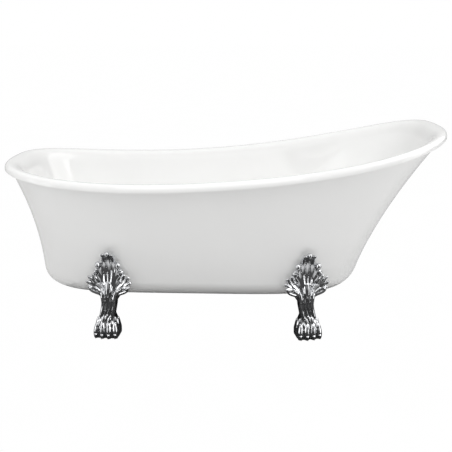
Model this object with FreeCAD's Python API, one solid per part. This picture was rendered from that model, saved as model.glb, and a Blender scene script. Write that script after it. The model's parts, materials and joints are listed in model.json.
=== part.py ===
"""Freestanding slipper bath: a double-walled acrylic tub on four cast paw feet.

Millimetres. +X runs to the high slipper end, -Y is the front, +Z is up, and the floor is z = 0.
Every part is written to parts/NAME.step.
"""

import FreeCAD, Part
import math
import os

V = FreeCAD.Vector
UP = V(0, 0, 1)

# Tub: plan of the rim
LENGTH = 1700.0            # over the lips of the rim
HALF_WIDTH = 375.0         # centre line to lip, halfway along
RIM_SQUARENESS = 2.76      # exponent of the rim's oval
SLIPPER_WIDENING = 0.09    # the slipper end is this much wider, the foot end narrower
END_FULLNESS = 0.19        # how far both ends are filled out

# Tub: heights
UNDERSIDE = 152.0          # floor to the flat bottom of the tub
RIM_MIDDLE = 487.0         # underside to the top of the rim, halfway along
RIM_SLOPE = 67.0           # rise of the rim from the middle to the slipper end, straight part
RIM_SAG = 80.0             # rise of both ends over the middle
RIM_KICK = 15.0            # last lift at both ends

# Tub: the outer skin's foot, measured inwards from its top edge
FOOT_END_RAKE = 88.0
SLIPPER_END_RAKE = 291.0
SIDE_RAKE = 95.0
BASE_SIDE_POWER = 4.8      # the base's oval is straighter along its sides
BASE_END_POWER = 2.18      # and rounder at its ends
BASE_MIDDLE = -125.0       # widest place of the base, from the middle of the rim
BASE_WIDENING = 0.05        # the base is this much wider at the slipper end's rim, narrower at the other
FOOT_END_FLARE = 2.07       # exponents of the curve from base to rim
SLIPPER_END_FLARE = 1.3
SIDE_FLARE = 2.1
SKIN_FILLET = 70.0
SKIN_WALL = 5.0

# Tub: inner shell and its rolled rim
SHELL_WALL = 6.0
LIP_HEIGHT = 25.0
LIP_RADIUS = 15.0
LIP_OVERHANG = 22.0        # lip beyond the outer skin
ROLL_WIDTH = 72.0          # lip to the top of the inner wall
FOOT_END_ROLL_WIDTH = 80.0
ROLL_DROP = 42.0
ROLL_EASE = 24.0           # handle lengths of the roll's curve
CREST_EASE = 32.0
WELL_INSET_ENDS = 60.0     # inner wall inside the outer skin, at the base
WELL_INSET_SIDES = 45.0
FOOT_END_WALL_FLARE = 1.6
SLIPPER_END_WALL_FLARE = 1.3
SIDE_WALL_FLARE = 1.35
WELL_FILLET = 90.0
SKIN_TOP_GAP = 0.6         # skin's hidden upper edge to the underside of the roll

# Carcass between the two shells
PLATE_THICKNESS = 5.0
PLATE_LENGTH = 80.0
PLATE_WIDTH = 56.0
BAR_HEIGHT = 40.0
BAR_WIDTH = 25.0
BAR_WALL = 2.0
BOARD_THICKNESS = 15.0
BOARD_WIDTH = 180.0
BOARD_OVERHANG = 25.0
RAIL_SPACING = 120.0

# Paw feet
FOOT_END_SETBACK = 312.0   # end of the skin's foot to the middle of the leaf, along the tub
SLIPPER_END_SETBACK = 216.0
FOOT_STANDOFF = 14.0       # middle of the leg outside the skin's foot
LEG_SPLAY = 10.0           # paw towards the tub's end, from the middle of the leaf
LEAF_RISE = 208.0          # underside to the tip of the leaf
LEAF_WIDTH = 168.0
LEAF_THICKNESS = 16.0
LEAF_CLEARANCE = 0.5
LEG_WIDTH = 54.0
LEG_DEPTH = 52.0
PAW_WIDTH = 94.0
PAW_DEPTH = 92.0
PAW_HEIGHT = 86.0
PAW_FORWARD = 7.0         # middle of the paw ahead of the leg's
TOE_COUNT = 4
LEDGE_THICKNESS = 12.0
LEDGE_WIDTH = 50.0
SEAT_RADIUS = 20.0         # raised seat round the stud, the only face that meets the skin
SEAT_RISE = 0.5
STUD_PAST_FILLET = 40.0    # stud past the skin's fillet, on its flat bottom
STUD_RADIUS = 6.0
STUD_HOLE_RADIUS = 6.5
WASHER_RADIUS = 14.0
WASHER_THICKNESS = 2.5
NUT_HEIGHT = 10.0
NUT_ACROSS_FLATS = 19.0
STUD_TAIL = 5.0            # thread left showing under the nut

# Levelling feet, one under each paw
PAW_GAP = 3.0              # floor to the paw with the foot wound in
PAD_RADIUS = 19.0
PAD_HEIGHT = 10.0
PAD_RECESS_CLEARANCE = 1.5
PAD_SOCKET_RADIUS = 8.0
LEVEL_TRAVEL = 12.0
LEVEL_SCREW_RADIUS = 5.0
LEVEL_SCREW_LENGTH = 46.0
LEVEL_COLLAR_HEIGHT = 4.0
RUNNING_CLEARANCE = 0.08
SLEEVE_CLEARANCE = 0.15
FACE_CLEARANCE = 0.3

# Waste
DRAIN_FROM_BASE_END = 225.0
FLANGE_RADIUS = 35.0
FLANGE_HEIGHT = 3.0
FLANGE_TUBE_RADIUS = 24.0
FLANGE_BORE_RADIUS = 21.0
SEAT_GASKET = 1.5
UNDER_GASKET = 4.0
FLANGE_TUBE_DROP = 20.0    # tub floor to the bottom of the flange's tube
SPIDER_HEIGHT = 5.0
SPIDER_ARM = 4.0
SOCKET_RADIUS = 7.0
STEM_RADIUS = 4.0
PLUG_RADIUS = 31.0
PLUG_CROWN = 4.0
PLUG_EDGE = 1.5
PLUG_LIFT = 9.0
SEAL_THICKNESS = 2.0
WASTE_BODY_RADIUS = 31.0
WASTE_BODY_WALL = 3.5
WASTE_COLLAR_RADIUS = 37.0
TAIL_RADIUS = 20.0
TAIL_NECK_RADIUS = 19.5    # where the nut holds it
TAIL_SHOULDER = 1.0        # under the nut
TAIL_WALL = 2.0
TAIL_DROP = 26.0           # underside to the open end of the tail
TAIL_NUT_RADIUS = 29.0
TAIL_NUT_HEIGHT = 16.0
SKIN_HOLE_CLEARANCE = 4.0

# Overflow
OVERFLOW_BELOW_RIM = 140.0
OVERFLOW_HOLE_RADIUS = 26.0
OVERFLOW_FACE_RADIUS = 36.0
OVERFLOW_FACE_STANDOFF = 9.0
OVERFLOW_FACE_THICKNESS = 2.5
OVERFLOW_SLOT = 34.0
OVERFLOW_GASKET = 4.0
OVERFLOW_BODY_RADIUS = 25.0
OVERFLOW_BODY_DEPTH = 27.0
OVERFLOW_WALL = 2.5
OVERFLOW_PIPE_RADIUS = 10.0
OVERFLOW_PIPE_WALL = 1.8
OVERFLOW_SCREW_RADIUS = 3.0
PIPE_NUT_RADIUS = 15.5
PIPE_NUT_HEIGHT = 14.0
PIPE_BEND = 50.0

# Levels that follow from the sizes above
CAVITY_FLOOR = UNDERSIDE + SKIN_WALL
BAR_BOTTOM = CAVITY_FLOOR + PLATE_THICKNESS
BOARD_BOTTOM = BAR_BOTTOM + BAR_HEIGHT
SHELL_BOTTOM = BOARD_BOTTOM + BOARD_THICKNESS
WELL_FLOOR = SHELL_BOTTOM + SHELL_WALL
LEAF_TOP = UNDERSIDE + LEAF_RISE
STUD_INSET = SKIN_FILLET + STUD_PAST_FILLET    # inside the skin's foot

# Plan of the skin's foot
BASE_LEFT = LENGTH / 2 - LIP_OVERHANG - FOOT_END_RAKE
BASE_RIGHT = LENGTH / 2 - LIP_OVERHANG - SLIPPER_END_RAKE
BASE_HALF_WIDTH = HALF_WIDTH - LIP_OVERHANG - SIDE_RAKE

AROUND = 72                # points round each ring of the shells
STEP = 2 * math.pi / AROUND


# ---------------------------------------------------------------- surfaces of the tub

def oval(phi, left, right, half, squareness):
    """A point of an oval whose ends reach -left and +right."""
    c, s = math.cos(phi), math.sin(phi)
    rho = (abs(c) ** squareness + abs(s) ** squareness) ** (-1 / squareness)
    return V((left if c < 0 else right) * rho * c, half * rho * s, 0)


def base_oval(phi, pulled_in, half):
    """A point of the base's oval, drawn in at its ends, found by Newton's steps on its radius."""
    c, s = math.cos(phi), math.sin(phi)
    rho = 1.0
    for _ in range(12):
        along = (rho * abs(c)) ** BASE_SIDE_POWER
        across = (rho * abs(s)) ** BASE_END_POWER
        rho -= rho * (along + across - 1) / (BASE_SIDE_POWER * along + BASE_END_POWER * across)
    reach = BASE_LEFT + BASE_MIDDLE if c < 0 else BASE_RIGHT - BASE_MIDDLE
    x = BASE_MIDDLE + (reach - pulled_in) * rho * c
    return V(x, half * rho * s * (1 + BASE_WIDENING * x / (LENGTH / 2)), 0)


def rim_plan(phi):
    p = oval(phi, LENGTH / 2, LENGTH / 2, HALF_WIDTH, RIM_SQUARENESS)
    u = p.x / (LENGTH / 2)
    return V(p.x, p.y * (1 + SLIPPER_WIDENING * u + END_FULLNESS * u * u), 0)


def rim_top(x):
    """Height of the rim's crest above the floor."""
    u = x / (LENGTH / 2)
    return UNDERSIDE + RIM_MIDDLE + RIM_SLOPE * u + RIM_SAG * u ** 2 + RIM_KICK * u ** 4


def inward(curve, phi):
    """Unit normal of a plan curve, pointing into the tub."""
    h = 1e-3
    t = curve(phi + h) - curve(phi - h)
    return V(-t.y, t.x, 0).normalize()


def rim_point(phi, inset, drop):
    """A point of the rim, inset from the lip and below the crest."""
    p = rim_plan(phi) + inward(rim_plan, phi) * inset
    return V(p.x, p.y, rim_top(p.x) - drop)


def by_end(phi, side, foot_end, slipper_end):
    """A value that runs from one at the sides to another at each end."""
    c = math.cos(phi)
    return side + ((foot_end if c < 0 else slipper_end) - side) * c * c


def wall_top(phi):
    """Where the inner wall meets the roll of the rim."""
    return rim_point(phi, by_end(phi, ROLL_WIDTH, FOOT_END_ROLL_WIDTH, ROLL_WIDTH), ROLL_DROP)


def rounding(height, radius):
    """How far a fillet pulls the wall in, at a height above its foot."""
    left = max(0.0, radius - height)
    return radius - math.sqrt(max(0.0, radius ** 2 - left ** 2))


def skin_plan(phi, pulled_in=0.0):
    return base_oval(phi, pulled_in, BASE_HALF_WIDTH - pulled_in)


def skin_at(phi, height):
    """A point of the outer skin's face, at a height above the underside."""
    top = rim_point(phi, LIP_OVERHANG, LIP_HEIGHT)
    share = max(0.0, height) / (top.z - UNDERSIDE)
    flare = share ** by_end(phi, SIDE_FLARE, FOOT_END_FLARE, SLIPPER_END_FLARE)
    p = skin_plan(phi, rounding(height, SKIN_FILLET)) + (V(top.x, top.y, 0) - skin_plan(phi)) * flare
    return V(p.x, p.y, UNDERSIDE + height)


def skin_ring(phi, k):
    """The outer skin from its flat bottom, k = 0, over the fillet, k = 1, to the lip, k = 2."""
    if k <= 1:
        return skin_at(phi, SKIN_FILLET * (1 - math.cos(k * math.pi / 2)))
    top = rim_point(phi, LIP_OVERHANG, LIP_HEIGHT).z - UNDERSIDE
    return skin_at(phi, SKIN_FILLET + (top - SKIN_FILLET) * (k - 1))


def well_plan(phi, pulled_in=0.0):
    return base_oval(phi, WELL_INSET_ENDS + pulled_in, BASE_HALF_WIDTH - WELL_INSET_SIDES - pulled_in)


def well_at(phi, share):
    """A point of the inner wall, share 0 at the tub's floor and 1 under the roll."""
    top = wall_top(phi)
    flare = share ** by_end(phi, SIDE_WALL_FLARE, FOOT_END_WALL_FLARE, SLIPPER_END_WALL_FLARE)
    height = share * (top.z - WELL_FLOOR)
    p = well_plan(phi, rounding(height, WELL_FILLET)) + (V(top.x, top.y, 0) - well_plan(phi)) * flare
    return V(p.x, p.y, WELL_FLOOR + height)


def shell_ring(phi, k):
    """The wet face, from the floor, k = 0, over the fillet, 1, the wall, 2, the roll, 3, the lip's arc, 4, to its hem, 5."""
    if k <= 2:
        deep = wall_top(phi).z - WELL_FLOOR
        bend = WELL_FILLET / deep
        if k <= 1:
            return well_at(phi, bend * (1 - math.cos(k * math.pi / 2)))
        return well_at(phi, bend + (1 - bend) * (k - 1))
    if k <= 3:
        t = k - 2
        start = well_at(phi, 1)
        along = (start - well_at(phi, 0.99)).normalize()
        handles = (start, start + along * ROLL_EASE,
                   rim_point(phi, LIP_RADIUS + CREST_EASE, 0), rim_point(phi, LIP_RADIUS, 0))
        weights = ((1 - t) ** 3, 3 * t * (1 - t) ** 2, 3 * t * t * (1 - t), t ** 3)
        total = V(0, 0, 0)
        for handle, weight in zip(handles, weights):
            total = total + handle * weight
        return total
    if k <= 4:
        turn = (k - 3) * math.pi / 2
        return rim_point(phi, LIP_RADIUS * (1 - math.sin(turn)), LIP_RADIUS * (1 - math.cos(turn)))
    return rim_point(phi, 0, LIP_RADIUS + (LIP_HEIGHT - LIP_RADIUS) * (k - 4))


def offset(ring, phi, k, high, distance):
    """The point of a surface moved along its own normal, which points away from the bather on both shells."""
    h = 1e-3
    around = ring(phi + h, k) - ring(phi - h, k)
    up = ring(phi, min(high, k + h)) - ring(phi, max(0, k - h))
    return ring(phi, k) + around.cross(up).normalize() * distance


def skin_collar(phi, inside):
    """The skin's upper edge, which stands straight up behind the lip to the underside of the roll."""
    p = rim_point(phi, LIP_OVERHANG + inside, 0)
    way = inward(rim_plan, phi)
    low, high = 2.0, 3.0
    for _ in range(24):
        middle = (low + high) / 2
        if (offset(shell_ring, phi, middle, 5, SHELL_WALL) - p).dot(way) > 0:
            low = middle
        else:
            high = middle
    return V(p.x, p.y, offset(shell_ring, phi, low, 5, SHELL_WALL).z - SKIN_TOP_GAP)


def closed_curve(points):
    """A smooth closed edge through the points, with even parameters so that rings match."""
    curve = Part.BSplineCurve()
    count = len(points)
    curve.interpolate(Points=points, PeriodicFlag=True, Parameters=[i / count for i in range(count + 1)])
    return curve.toShape()


def rings(surface, levels):
    return [closed_curve([surface(-math.pi + i * STEP, k) for i in range(AROUND)]) for k in levels]


def skinned(edges):
    """One smooth face through a stack of closed edges."""
    return Part.makeLoft([Part.Wire([e]) for e in edges], False, False, False).Faces


def closed_solid(faces):
    shell = Part.Shell(faces)
    shell.sewShape(0.01)
    solid = Part.Solid(shell)
    if solid.Volume < 0:
        solid.reverse()
    return solid


def walled(surface, steps, wall, collar=None):
    """A shell with a flat bottom: its face, the same face a wall's thickness behind, and the hem between."""
    faces, edges = [], []
    for side in (surface, lambda phi, k: offset(surface, phi, k, len(steps), wall)):
        for stretch, count in enumerate(steps):
            stack = rings(side, [stretch + i / count for i in range(count + 1)])
            faces += skinned(stack)
            if stretch == 0:
                faces.append(Part.Face(Part.Wire([stack[0]])))
        edges.append(stack[-1])
    if collar:
        raised = rings(collar, [0, abs(wall)])
        faces += [f for low, high in zip(edges, raised) for f in Part.makeRuledSurface(low, high).Faces]
        edges = raised
    return closed_solid(faces + Part.makeRuledSurface(edges[0], edges[1]).Faces)


def skin_wall_point(height, inside):
    """X of the skin at the foot end, on the centre line, a distance inside its face."""
    return skin_at(math.pi, height - UNDERSIDE).x + inside


def well_share(height):
    return (height - WELL_FLOOR) / (wall_top(math.pi).z - WELL_FLOOR)


# ---------------------------------------------------------------- small solids

def cylinder(radius, height, at, axis=UP):
    return Part.makeCylinder(radius, height, at, axis)


def tube(outer, inner, height, at, axis=UP):
    return cylinder(outer, height, at, axis).cut(cylinder(inner, height, at, axis))


def block(length, width, height, centre, bottom):
    return Part.makeBox(length, width, height, V(centre.x - length / 2, centre.y - width / 2, bottom))


def bar(length, width, height, centre, bottom, along_x):
    """A rectangular steel tube lying flat."""
    size = (length, width) if along_x else (width, length)
    hollow = [s - 2 * BAR_WALL if (i == 0) != along_x else s for i, s in enumerate(size)]
    outer = block(size[0], size[1], height, centre, bottom)
    return outer.cut(block(hollow[0], hollow[1], height - 2 * BAR_WALL, centre, bottom + BAR_WALL))


def hexagon(across, height, at):
    points = [V(at.x + across / math.sqrt(3) * math.cos(math.radians(60 * i + 30)),
                at.y + across / math.sqrt(3) * math.sin(math.radians(60 * i + 30)), at.z) for i in range(7)]
    return Part.Face(Part.makePolygon(points)).extrude(UP * height)


def rounded_section(width, depth, across, out, z, squareness=3.0, count=20):
    """A closed rounded-rectangle wire in the foot's own frame, its middle across and out from the frame's origin."""
    points = []
    for i in range(count):
        p = oval(2 * math.pi * i / count, width / 2, width / 2, depth / 2, squareness)
        points.append(V(p.x + across, p.y - out, z))
    return Part.Wire([closed_curve(points)])


# ---------------------------------------------------------------- paw feet

def base_angle(x):
    """The angle at which the skin's foot, on the front, passes x."""
    low, high = -math.pi, 0.0
    for _ in range(60):
        middle = (low + high) / 2
        if skin_plan(middle).x < x:
            low = middle
        else:
            high = middle
    return low


class FootPlace:
    """Where a foot meets the tub: its point on the skin's foot, the way it faces, and how far its paw stands aside."""

    def __init__(self, x, splay):
        self.phi = base_angle(x)
        self.point = skin_plan(self.phi)
        self.out = inward(skin_plan, self.phi) * -1
        self.side = V(-self.out.y, self.out.x, 0)
        self.turn = math.degrees(math.atan2(self.out.x, -self.out.y))
        self.splay = splay

    def at(self, out, z=0.0):
        p = self.point + self.out * out
        return V(p.x, p.y, z)

    def under_paw(self, z=0.0):
        return self.at(FOOT_STANDOFF + PAW_FORWARD, z) + self.side * self.splay

    def on_skin(self, across, height, out):
        """A point outside the skin, at a distance across the foot and a height above the tub's underside."""
        low, high = self.phi - 1, self.phi + 1
        for _ in range(50):
            middle = (low + high) / 2
            if (skin_at(middle, height) - self.point).dot(self.side) < across:
                low = middle
            else:
                high = middle
        return skin_at(low, height) + self.out * out

    def place(self, shape):
        """From the foot's own frame, which faces -Y, to the tub's front."""
        shape.rotate(V(0, 0, 0), UP, self.turn)
        shape.translate(self.point)
        return shape


FOOT_PLACES = {"left": FootPlace(-BASE_LEFT + FOOT_END_SETBACK, -LEG_SPLAY),
               "right": FootPlace(BASE_RIGHT - SLIPPER_END_SETBACK, LEG_SPLAY)}


def skin_block(place, out):
    """The tub's own volume beside a foot, grown outwards by a distance, to shape the leaf's back."""
    reach = 1.6 * LEAF_WIDTH / BASE_LEFT
    count = 11
    wires = []
    heights = [SKIN_FILLET * (1 - math.cos(i * math.pi / 14)) for i in range(8)]
    heights += [SKIN_FILLET * (1 + (i + 1) / 4) for i in range(3)]
    heights += [heights[-1] + (LEAF_RISE + LEAF_THICKNESS - heights[-1]) * (i + 1) / 4 for i in range(4)]
    for height in heights:
        drop = max(out, SEAT_RISE) if height == 0 else 0.0
        points = []
        for i in range(count):
            phi = place.phi + reach * (2 * i / (count - 1) - 1)
            p = skin_at(phi, height) - inward(skin_plan, phi) * out
            points.append(V(p.x, p.y, p.z - drop))
        curve = Part.BSplineCurve()
        curve.interpolate(Points=points)
        far = [V(points[-1].x, 0, points[-1].z), V(points[0].x, 0, points[0].z)]
        wires.append(Part.Wire([curve.toShape(), Part.makeLine(points[-1], far[0]),
                                Part.makeLine(far[0], far[1]), Part.makeLine(far[1], points[0])]))
    return Part.makeLoft(wires, True, False, False)


def leaf_outline():
    """Half of the acanthus leaf's outline, from its tip down to the leg, as lobes of a fan."""
    half = LEAF_WIDTH / 2
    return [(0.10 * half, 1.00), (0.22 * half, 0.985), (0.24 * half, 0.90), (0.40 * half, 0.89),
            (0.50 * half, 0.83), (0.44 * half, 0.74), (0.56 * half, 0.70), (0.66 * half, 0.62),
            (0.60 * half, 0.54), (0.80 * half, 0.55), (0.94 * half, 0.48), (1.00 * half, 0.38),
            (0.86 * half, 0.27), (0.70 * half, 0.14), (0.42 * half, 0.08), (0.33 * half, 0.0)]


def leaf(place):
    """The leaf that spreads up the tub's side, its back shaped to the skin."""
    foot = UNDERSIDE - LEAF_THICKNESS
    tall = LEAF_TOP - foot
    side = [V(x, 0, foot + share * tall) for x, share in leaf_outline()]
    points = side + [V(-p.x, 0, p.z) for p in reversed(side)]
    face = Part.Face(Part.makePolygon(points + [points[0]]))
    prism = face.extrude(V(0, -4 * FOOT_STANDOFF - SKIN_FILLET / 2, 0))
    prism.translate(V(0, SKIN_FILLET / 2, 0))
    return place.place(prism).common(skin_block(place, LEAF_THICKNESS))


def capsule(a, b, radius_a, radius_b):
    """Two balls with a cone between them."""
    way = b - a
    cone = Part.makeCone(radius_a, radius_b, way.Length, a, way)
    return cone.fuse([Part.makeSphere(radius_a, a), Part.makeSphere(radius_b, b)])


def leaf_ribs(place):
    """The raised middle rib of the leaf, and a rib along each side lobe."""
    def on_leaf(side, rise):
        return place.on_skin(side * LEAF_WIDTH, rise * LEAF_RISE, LEAF_THICKNESS - 3)

    ribs = [capsule(on_leaf(0, 0.30), on_leaf(0, 0.93), 13, 6)]
    for side in (-1, 1):
        ribs.append(capsule(on_leaf(0.08 * side, 0.30), on_leaf(0.42 * side, 0.42), 9, 5))
        ribs.append(capsule(on_leaf(0.06 * side, 0.52), on_leaf(0.26 * side, 0.68), 8, 4))
    return ribs


def leg(splay):
    """The leg, from the paw up into the knee behind the leaf, in the foot's own frame."""
    middle = FOOT_STANDOFF
    top = UNDERSIDE + SKIN_FILLET
    sections = [(LEG_WIDTH * 1.25, LEG_DEPTH * 1.3, splay, middle, PAW_HEIGHT * 0.72),
                (LEG_WIDTH * 1.02, LEG_DEPTH * 1.05, splay * 0.8, middle, PAW_HEIGHT * 1.05),
                (LEG_WIDTH * 0.96, LEG_DEPTH, splay * 0.4, middle, (PAW_HEIGHT + UNDERSIDE) / 2),
                (LEG_WIDTH * 1.06, LEG_DEPTH * 1.04, 0, middle + 1, UNDERSIDE),
                (LEG_WIDTH * 1.18, LEG_DEPTH * 0.92, 0, middle + 4, top)]
    return Part.makeLoft([rounded_section(*s) for s in sections], True, False, False)


def paw(splay):
    """The paw: a block that widens to the floor, with knuckled toes and claws along its front."""
    ahead = FOOT_STANDOFF + PAW_FORWARD
    middle = -ahead
    sections = [(PAW_WIDTH * 0.90, PAW_DEPTH * 0.84, splay, ahead - 4, PAW_GAP),
                (PAW_WIDTH * 0.90, PAW_DEPTH * 0.86, splay, ahead - 4, PAW_GAP + PAW_HEIGHT * 0.25),
                (PAW_WIDTH * 0.80, PAW_DEPTH * 0.78, splay, ahead - 3, PAW_GAP + PAW_HEIGHT * 0.6),
                (PAW_WIDTH * 0.62, PAW_DEPTH * 0.6, splay * 0.8, FOOT_STANDOFF, PAW_GAP + PAW_HEIGHT)]
    body = Part.makeLoft([rounded_section(*s) for s in sections], True, False, False)
    radius = PAW_WIDTH / TOE_COUNT / 2
    for i in range(TOE_COUNT):
        x = (i - (TOE_COUNT - 1) / 2) * 2 * radius
        bow = 0.16 * PAW_DEPTH * (2 * x / PAW_WIDTH) ** 2
        front = middle - PAW_DEPTH / 2 + radius + bow
        tip = V(splay + x, front, PAW_GAP + radius * 1.05)
        knuckle = V(splay + x * 0.9, front + radius * 0.9, PAW_GAP + PAW_HEIGHT * 0.45)
        claw = V(splay + x, front - radius * 0.8, PAW_GAP + radius * 0.5)
        body = body.fuse([capsule(knuckle, tip, radius * 1.04, radius * 0.94), capsule(tip, claw, radius * 0.5, 2.0)])
    slab = block(3 * PAW_WIDTH, 3 * PAW_DEPTH, PAW_HEIGHT, V(0, middle, 0), PAW_GAP - PAW_HEIGHT)
    return body.cut(slab)


def foot_casting(place):
    """One cast foot: leaf, leg, paw and the ledge that carries the tub."""
    inner = STUD_INSET + FOOT_STANDOFF + LEDGE_WIDTH / 2
    ledge = block(LEDGE_WIDTH, inner, LEDGE_THICKNESS, V(0, inner / 2 - FOOT_STANDOFF, 0),
                  UNDERSIDE - LEDGE_THICKNESS)
    casting = place.place(leg(place.splay).fuse([paw(place.splay), ledge])).fuse([leaf(place)] + leaf_ribs(place))
    seat_bottom = place.at(-STUD_INSET, UNDERSIDE - LEDGE_THICKNESS)
    seat = cylinder(SEAT_RADIUS, LEDGE_THICKNESS, seat_bottom)
    casting = casting.cut(skin_block(place, LEAF_CLEARANCE)).fuse(seat).removeSplitter()
    stud = cylinder(STUD_HOLE_RADIUS, 3 * LEDGE_THICKNESS, place.at(-STUD_INSET, UNDERSIDE - 2 * LEDGE_THICKNESS))
    middle = place.under_paw()
    recess = cylinder(PAD_RADIUS + PAD_RECESS_CLEARANCE, PAD_HEIGHT + LEVEL_COLLAR_HEIGHT + FACE_CLEARANCE, middle)
    thread = cylinder(LEVEL_SCREW_RADIUS + RUNNING_CLEARANCE, PAD_HEIGHT + LEVEL_SCREW_LENGTH + FACE_CLEARANCE, middle)
    return casting.cut([stud, recess, thread])


def leveller_pad(place):
    """Round foot pad with a socket in its top for the screw's end."""
    middle = place.under_paw()
    pad = cylinder(PAD_RADIUS, PAD_HEIGHT, middle)
    edge = [e for e in pad.Edges if e.BoundBox.ZLength < 0.1]
    pad = pad.makeFillet(1.5, edge)
    socket = V(middle.x, middle.y, PAD_HEIGHT / 2)
    return pad.cut(cylinder(PAD_SOCKET_RADIUS / 2 + RUNNING_CLEARANCE, PAD_HEIGHT, socket))


def leveller_screw(place):
    """Threaded jack screw: a plain end in the pad's socket, a collar on the pad, and the thread in the paw."""
    middle = place.under_paw()
    nose = cylinder(PAD_SOCKET_RADIUS / 2, PAD_HEIGHT / 2, V(middle.x, middle.y, PAD_HEIGHT / 2 + FACE_CLEARANCE))
    collar = cylinder(PAD_RADIUS * 0.6, LEVEL_COLLAR_HEIGHT - FACE_CLEARANCE,
                      V(middle.x, middle.y, PAD_HEIGHT + FACE_CLEARANCE))
    thread = cylinder(LEVEL_SCREW_RADIUS, LEVEL_SCREW_LENGTH - FACE_CLEARANCE,
                      V(middle.x, middle.y, PAD_HEIGHT + FACE_CLEARANCE))
    return nose.fuse([collar, thread]).removeSplitter()


def mirrored(shape):
    """The same piece on the back of the tub."""
    return shape.mirror(V(0, 0, 0), V(0, 1, 0))


def stud_points():
    front = [place.at(-STUD_INSET) for place in FOOT_PLACES.values()]
    return front + [V(p.x, -p.y, 0) for p in front]


def foot_fasteners():
    """Studs, washers and nuts that hold the four castings to the mounting plates."""
    washer_top = UNDERSIDE - LEDGE_THICKNESS
    nut_top = washer_top - WASHER_THICKNESS
    studs, washers, nuts = [], [], []
    for p in stud_points():
        low = nut_top - NUT_HEIGHT - STUD_TAIL
        studs.append(cylinder(STUD_RADIUS, CAVITY_FLOOR - low, V(p.x, p.y, low)))
        washers.append(tube(WASHER_RADIUS, STUD_HOLE_RADIUS, WASHER_THICKNESS, V(p.x, p.y, nut_top)))
        nut_low = V(p.x, p.y, nut_top - NUT_HEIGHT)
        thread = cylinder(STUD_RADIUS + SLEEVE_CLEARANCE, NUT_HEIGHT, nut_low)
        nuts.append(hexagon(NUT_ACROSS_FLATS, NUT_HEIGHT, nut_low).cut(thread))
    return {"foot_studs": studs, "foot_washers": washers, "foot_nuts": nuts}


# ---------------------------------------------------------------- carcass

def carcass():
    """Welded steel bars on four plates, and the board that carries the tub's floor."""
    nodes = {}
    left = FOOT_PLACES["left"].at(-STUD_INSET)
    right = FOOT_PLACES["right"].at(-STUD_INSET)
    ends = {"foot_end": left, "slipper_end": right}
    for name, p in ends.items():
        long = 2 * abs(p.y) + BAR_WIDTH
        nodes["frame_crossbar_" + name] = [bar(long, BAR_WIDTH, BAR_HEIGHT, V(p.x, 0, 0), BAR_BOTTOM, False)]
    middle = (left.x + right.x) / 2
    between = right.x - left.x - BAR_WIDTH
    for side, y in (("front", -RAIL_SPACING / 2), ("back", RAIL_SPACING / 2)):
        nodes["frame_rail_" + side] = [bar(between, BAR_WIDTH, BAR_HEIGHT, V(middle, y, 0), BAR_BOTTOM, True)]
    gap = RAIL_SPACING - BAR_WIDTH
    nodes["frame_tie_bar"] = [bar(gap, BAR_WIDTH, BAR_HEIGHT, V(middle, 0, 0), BAR_BOTTOM, False)]
    for side, sign in (("front", 1), ("back", -1)):
        for end, p in (("left", left), ("right", right)):
            at = V(p.x, sign * p.y, 0)
            plate = block(PLATE_LENGTH, PLATE_WIDTH, PLATE_THICKNESS, at, CAVITY_FLOOR)
            nodes["mounting_plate_%s_%s" % (side, end)] = [plate]
    board_long = right.x - left.x + BAR_WIDTH + 2 * BOARD_OVERHANG
    nodes["base_board"] = [block(board_long, BOARD_WIDTH, BOARD_THICKNESS, V(middle, 0, 0), BOARD_BOTTOM)]
    return nodes


# ---------------------------------------------------------------- waste

DRAIN = V(-BASE_LEFT + DRAIN_FROM_BASE_END, 0, 0)


def drain_at(z):
    return V(DRAIN.x, DRAIN.y, z)


SEAT_TOP = WELL_FLOOR + SEAT_GASKET + FLANGE_HEIGHT
TUBE_BOTTOM = WELL_FLOOR - FLANGE_TUBE_DROP
COLLAR_TOP = SHELL_BOTTOM - UNDER_GASKET
PIPE_LEVEL = (CAVITY_FLOOR + SHELL_BOTTOM) / 2
CHAMBER_BOTTOM = PIPE_LEVEL - OVERFLOW_PIPE_RADIUS - WASTE_BODY_WALL - 1.0
NUT_TOP = CHAMBER_BOTTOM - 1.0


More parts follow.
